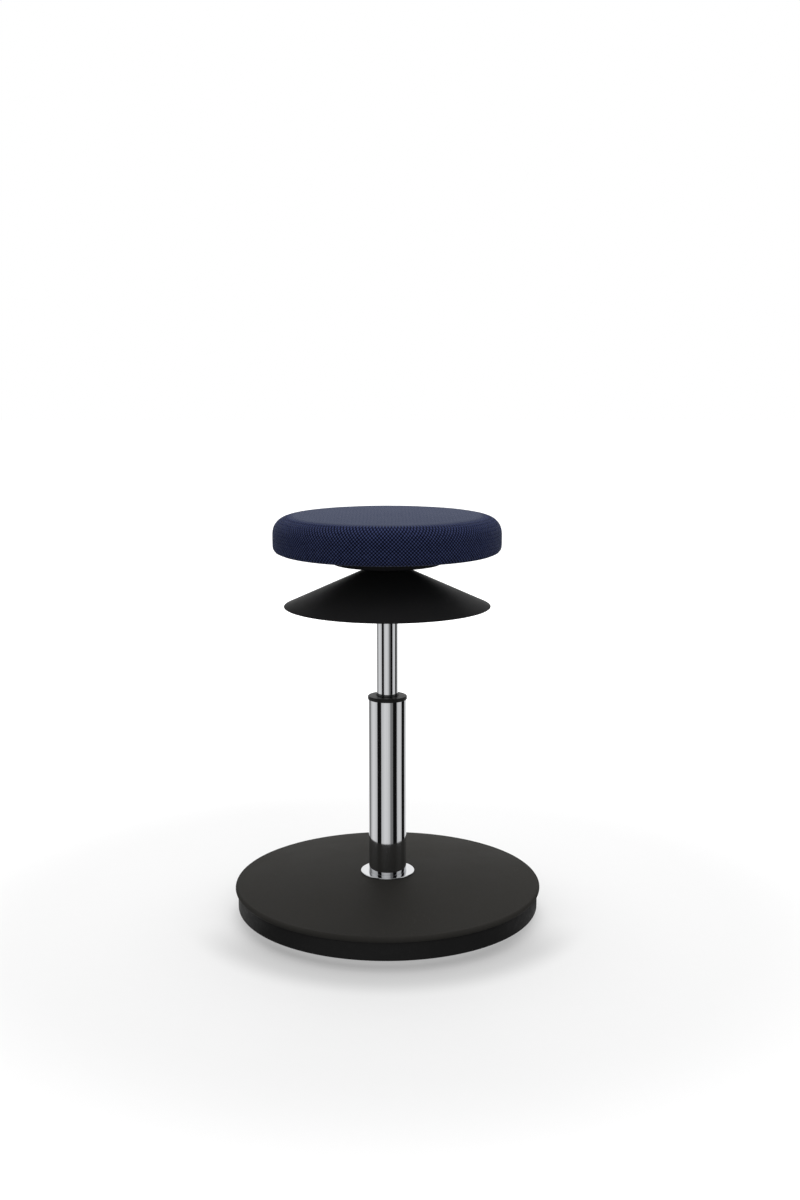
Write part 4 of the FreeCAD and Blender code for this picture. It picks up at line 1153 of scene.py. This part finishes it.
def crown_at(point, kit):
    """How much the top stands proud of the flat at a point."""
    out = polar(point)[0] / kit.flat_rad
    if out >= 1 or point.z < high("seat_board") + 5 * MM:
        return 0.0
    return kit.crown * (1 - out ** 2) ** 1.5


def pucker(piece, kit):
    """Give the cushion its small folds at the lower edge and its gentle unevenness."""
    foot = low("seat_cover")
    for vert in piece.data.vertices:
        turn = polar(vert.co)[1]
        out = Vector((vert.co.x, vert.co.y, 0)).normalized()
        fade = max(0.0, 1 - (vert.co.z - foot) / (16 * MM)) ** 2
        fold = math.sin(turn * 46 + 1.7 * math.sin(turn * 7)) * math.sin(turn * 13 + 0.6)
        skin = 1.0 if out.dot(vert.co) > far("seat_board") + 2 * MM else 0.0
        vert.co += out * (kit.pucker * fold * fade * skin)
        if vert.co.z > high("seat_board") + 5 * MM:
            gentle = noise.noise(vert.co * 16) * 0.25 * MM
            vert.co += (out * 0.3 + Vector((0, 0, 0.7))) * gentle


class STOOL_OT_cushion(bpy.types.Operator):
    """Make the padded seat as a cloth that is filled, and pull its edge in under the board"""

    bl_idname = "stool.cushion"
    bl_label = "Cushion"

    def execute(self, context):
        kit = context.scene.stool_cushion
        cushion = turned("seat_cushion", cushion_outline(kit, kit.start_inset), turns=180)
        remesh = cushion.modifiers.new("remesh", "REMESH")
        remesh.mode = "VOXEL"
        remesh.voxel_size = kit.voxel
        remesh.use_smooth_shade = True
        plain(cushion)
        inflate(cushion, kit)
        hug(cushion, kit)
        pucker(cushion, kit)
        for face in cushion.data.polygons:
            face.use_smooth = True
        cushion.data.materials.clear()
        cushion.data.materials.append(finish_of("fabric_navy"))
        finer = cushion.modifiers.new("finer", "SUBSURF")
        finer.levels = finer.render_levels = 1
        settle(cushion, "seat", "fabric_navy", "seat_cover", "seat_foam")
        return {"FINISHED"}


class STOOL_OT_underside(bpy.types.Operator):
    """Make the gathered edge of the cover, the stapled lining and its staples"""

    bl_idname = "stool.underside"
    bl_label = "Underside"

    def execute(self, context):
        kit = context.scene.stool_cushion
        foot, board = low("seat_cover"), low("seat_board")
        inner, outer = far("seat_liner") - 2 * MM, far("seat_board") + 1 * MM
        hem = turned("cover_hem", [
            (inner, board),
            (inner, foot),
            *along((inner, foot), (outer, foot), 14),
            (outer, foot),
            (outer + 4.2 * MM, foot + 1.8 * MM),
            (outer + 5.4 * MM, foot + 5 * MM),
            (outer, board + 5 * MM),
            (outer, board),
        ], finish_of("fabric_navy"), 900)
        for vert in hem.data.vertices:
            rad, turn = polar(vert.co)
            if vert.co.z < (foot + board) / 2 and rad < outer + 1 * MM:
                reach = (outer - rad) / (outer - inner)
                sweep = turn * kit.pleats + 1.4 * math.sin(turn * 5) + 0.5 * reach
                fold = abs(math.sin(sweep / 2)) ** 0.7 * (0.75 + 0.25 * math.sin(turn * 17))
                vert.co.z -= kit.pleat * fold * unit(reach * 1.4) ** 1.2
        settle(hem, "seat", "fabric_navy")
        hole, flat = far("seat_plate") * 0.55, 90 * MM
        edge = far("seat_liner") + 1.5 * MM
        lining = turned("seat_lining", [
            (hole, board),
            (hole, foot),
            *along((hole, foot), (edge, foot), 24),
            (edge, foot),
            (edge, foot + 0.7 * MM),
            (edge - 4 * MM, board),
        ], finish_of("lining_black"), 720)
        for vert in lining.data.vertices:
            rad, turn = polar(vert.co)
            if vert.co.z < foot + 1 * MM and rad > flat:
                reach = (rad - flat) / (edge - flat)
                puff = 0.5 - 0.5 * math.cos(turn * kit.staples)
                vert.co.z -= reach * (1.0 + 0.35 * puff) * MM
        settle(lining, "seat", "lining_black", "seat_liner")
        staples = ring_of("lining_staples", staple(), kit.staples, far("seat_liner") - 3.5 * MM,
                          foot - 0.95 * MM, "steel_zinc", wobble=math.radians(7))
        settle(staples, "seat", "steel_zinc")
        return {"FINISHED"}


def staple():
    """One staple, its crown along Y at the origin and its legs up."""
    half, wire, leg, bend = 5 * MM, 0.35 * MM, 2.5 * MM, 0.6 * MM
    path = bpy.data.curves.new("staple", "CURVE")
    path.dimensions = "3D"
    path.bevel_depth = wire
    path.bevel_resolution = 2
    line = path.splines.new("POLY")
    points = [(0, -half, leg), (0, -half, bend), (0, bend - half, 0),
              (0, half - bend, 0), (0, half, bend), (0, half, leg)]
    line.points.add(len(points) - 1)
    for spot, place in zip(line.points, points):
        spot.co = (*place, 1.0)
    bent = bpy.data.objects.new("staple", path)
    bpy.context.scene.collection.objects.link(bent)
    graph = bpy.context.evaluated_depsgraph_get()
    mesh = bpy.data.meshes.new_from_object(bent.evaluated_get(graph))
    bpy.data.objects.remove(bent)
    return new_object("staple_wire", mesh)


# The stage

DARK_CARDS = (
    # azimuth from the camera's side, width and soft border in degrees, brightness
    (-131.0, 26.0, 3.0, 0.3),
    (-50.5, 26.0, 2.0, 0.01),
    (24.5, 17.0, 4.0, 0.33),
    (44.8, 25.0, 2.0, 0.01),
    (107.5, 29.0, 2.0, 0.01),
)
DIM_BORDER = 20.0


def set_camera(scene):
    """Set the camera at the photograph's viewing angle."""
    lens = bpy.data.cameras.new("camera")
    lens.sensor_fit = "VERTICAL"
    lens.sensor_height = 36.0
    lens.lens = 44.34
    eye = bpy.data.objects.new("camera", lens)
    eye.location = (-0.00492, -1.9049, 0.7403)
    eye.rotation_euler = (math.pi / 2 - 0.1642, 0.0, -0.0113)
    scene.collection.objects.link(eye)
    scene.camera = eye


def white_rays(tree):
    """1 for rays that should see a white background, 0 for the rest."""
    path = add(tree, "ShaderNodeLightPath").outputs
    seen = total(tree, path["Is Camera Ray"], path["Is Glossy Ray"])
    return calc(tree, "MINIMUM", calc(tree, "ADD", seen, path["Is Transmission Ray"]), 1.0)


def surroundings(scene, kit):
    """Even light from all round, seen as white."""
    world = bpy.data.worlds.new("surroundings")
    world.use_nodes = True
    tree = world.node_tree
    scene.world = world
    strength = span(tree, white_rays(tree), kit.sky, 1.0)
    tree.links.new(strength, tree.nodes["Background"].inputs["Strength"])
    tree.nodes["Background"].inputs["Color"].default_value = (1.0, 1.0, 1.0, 1.0)


def floor_finish(kit):
    """Pale floor that the camera sees as white but for the object's shadow and a painted shadow
    band in front of the base.
    """
    material, tree, place = new_finish("floor", roughness=0.9, specular_ior_level=0.0,
                                       emission_color=(1.0, 1.0, 1.0))
    speckled = tint(tree, cloud(tree, place, 40.0, 4.0), toned(kit.floor, 0.985), kit.floor)
    distance = add(tree, "ShaderNodeVectorMath", {0: place}, operation="LENGTH").outputs[1]
    lift = span(tree, ramp(tree, distance, 0.45, 1.2), kit.lift, 1.0)
    # Painted shadow: in front of the base, a band about 0.18 to 0.28 m from the middle has the
    # floor's white lift cut to 0.62, darkening it.
    painted_shadow_band = times(tree, ramp(tree, distance, 0.178, 0.2), ramp(tree, distance, 0.28, 0.23))
    ahead = parts_of(tree, place)[1]
    painted_shadow_band = times(tree, painted_shadow_band, ramp(tree, ahead, -0.04, -0.16))
    shaded = times(tree, lift, span(tree, painted_shadow_band, 1.0, 0.62))
    lifted = times(tree, white_rays(tree), shaded)
    return link(material, base_color=speckled, emission_strength=lifted)


def lamp(scene, name, size, power, place):
    """A large soft lamp that looks at the stool and isn't mirrored in it."""
    light = bpy.data.lights.new(name, "AREA")
    light.shape = "DISK"
    light.size = size
    light.energy = power
    thing = bpy.data.objects.new(name, light)
    thing.location = place
    aim = Vector((0, 0, 0.3)) - Vector(place)
    thing.rotation_euler = aim.to_track_quat("-Z", "Y").to_euler()
    thing.visible_glossy = False
    scene.collection.objects.link(thing)


def mirrored(azimuth):
    """Brightness that bright metal mirrors from an azimuth, in degrees from the camera's side."""
    seen = 1.0 + 0.25 * unit((abs(azimuth) - 140) / 25)
    seen += 0.035 * math.sin(azimuth * 0.61) * math.sin(azimuth * 0.23 + 1.0)
    for middle, wide, soft, grey in DARK_CARDS:
        off = abs(azimuth - middle) - wide / 2
        dim = 0.72 + 0.28 * unit(off / DIM_BORDER)
        seen *= grey + (dim - grey) * unit(off / soft + 0.5)
    return seen


def reflector():
    """A bent wall round the stool, light with dark stripes, that only mirrors see."""
    material, tree, _ = new_finish("reflector", base_color=(0.0, 0.0, 0.0),
                                   specular_ior_level=0.0, emission_color=(1.0, 1.0, 1.0))
    bright = add(tree, "ShaderNodeAttribute", attribute_name="brightness").outputs["Fac"]
    link(material, emission_strength=bright)
    rims = [(0.212, 0.001), (0.9, 0.001), (0.9, 2.5)]
    work = bmesh.new()
    layer = work.verts.layers.float.new("brightness")
    rows = []
    for rad, height in rims:
        row = []
        for azimuth in range(-180, 180):
            turn = math.radians(azimuth - 90)
            row.append(work.verts.new((rad * math.cos(turn), rad * math.sin(turn), height)))
            row[-1][layer] = mirrored(azimuth)
        rows.append(row)
    for near, off in zip(rows, rows[1:]):
        for step in range(360):
            after = (step + 1) % 360
            work.faces.new((near[step], near[after], off[after], off[step]))
    wall = new_object("reflector", mesh_of(work, "reflector"), material)
    for rays in ("camera", "diffuse", "shadow", "transmission"):
        setattr(wall, "visible_" + rays, False)
    return wall


class STOOL_OT_stage(bpy.types.Operator):
    """Make the camera, the floor, the lamps and the surroundings"""

    bl_idname = "stool.stage"
    bl_label = "Stage"

    def execute(self, context):
        scene, kit = context.scene, context.scene.stool_stage
        set_camera(scene)
        surroundings(scene, kit)
        work = bmesh.new()
        bmesh.ops.create_grid(work, x_segments=1, y_segments=1, size=15.0)
        new_object("floor", mesh_of(work, "floor"), floor_finish(kit))
        lamp(scene, "main", 2.0, kit.top_power, (0.0, 0.6, 2.6))
        lamp(scene, "back", 1.8, kit.back_power, (0.0, 2.4, 1.3))
        lamp(scene, "front", 1.6, kit.front_power, (0.8, -1.8, 2.4))
        reflector()
        scene.view_settings.view_transform = "Standard"
        return {"FINISHED"}


class STOOL_PT_panel(bpy.types.Panel):
    """Buttons for every piece of the stool"""

    bl_idname = "STOOL_PT_panel"
    bl_label = "Wobble stool"
    bl_space_type = "VIEW_3D"
    bl_region_type = "UI"
    bl_category = "Stool"

    def draw(self, context):
        for group in SETTINGS:
            kit = getattr(context.scene, group)
            for name in kit.__annotations__:
                self.layout.prop(kit, name)
        for operator in OPERATORS:
            self.layout.operator(operator.bl_idname)


SETTINGS = {
    "stool_cushion": CushionSettings,
    "stool_cloth": ClothSettings,
    "stool_plastic": PlasticSettings,
    "stool_metal": MetalSettings,
    "stool_stage": StageSettings,
}
OPERATORS = (
    STOOL_OT_stage,
    STOOL_OT_finishes,
    STOOL_OT_floor_pad,
    STOOL_OT_rocker_shell,
    STOOL_OT_base_cover,
    STOOL_OT_column,
    STOOL_OT_release,
    STOOL_OT_under_seat,
    STOOL_OT_cushion,
    STOOL_OT_underside,
)


def register():
    """Register every class and hang the settings on the scene."""
    for kind in (*SETTINGS.values(), *OPERATORS, STOOL_PT_panel):
        bpy.utils.register_class(kind)
    for name, kind in SETTINGS.items():
        setattr(bpy.types.Scene, name, PointerProperty(type=kind))


def unregister():
    """Undo register."""
    for name in SETTINGS:
        delattr(bpy.types.Scene, name)
    for kind in (STOOL_PT_panel, *OPERATORS[::-1], *SETTINGS.values()):
        bpy.utils.unregister_class(kind)


def main():
    """Make the whole stool."""
    register()
    for operator in OPERATORS:
        family, name = operator.bl_idname.split(".")
        getattr(getattr(bpy.ops, family), name)()


if __name__ == "__main__":
    main()
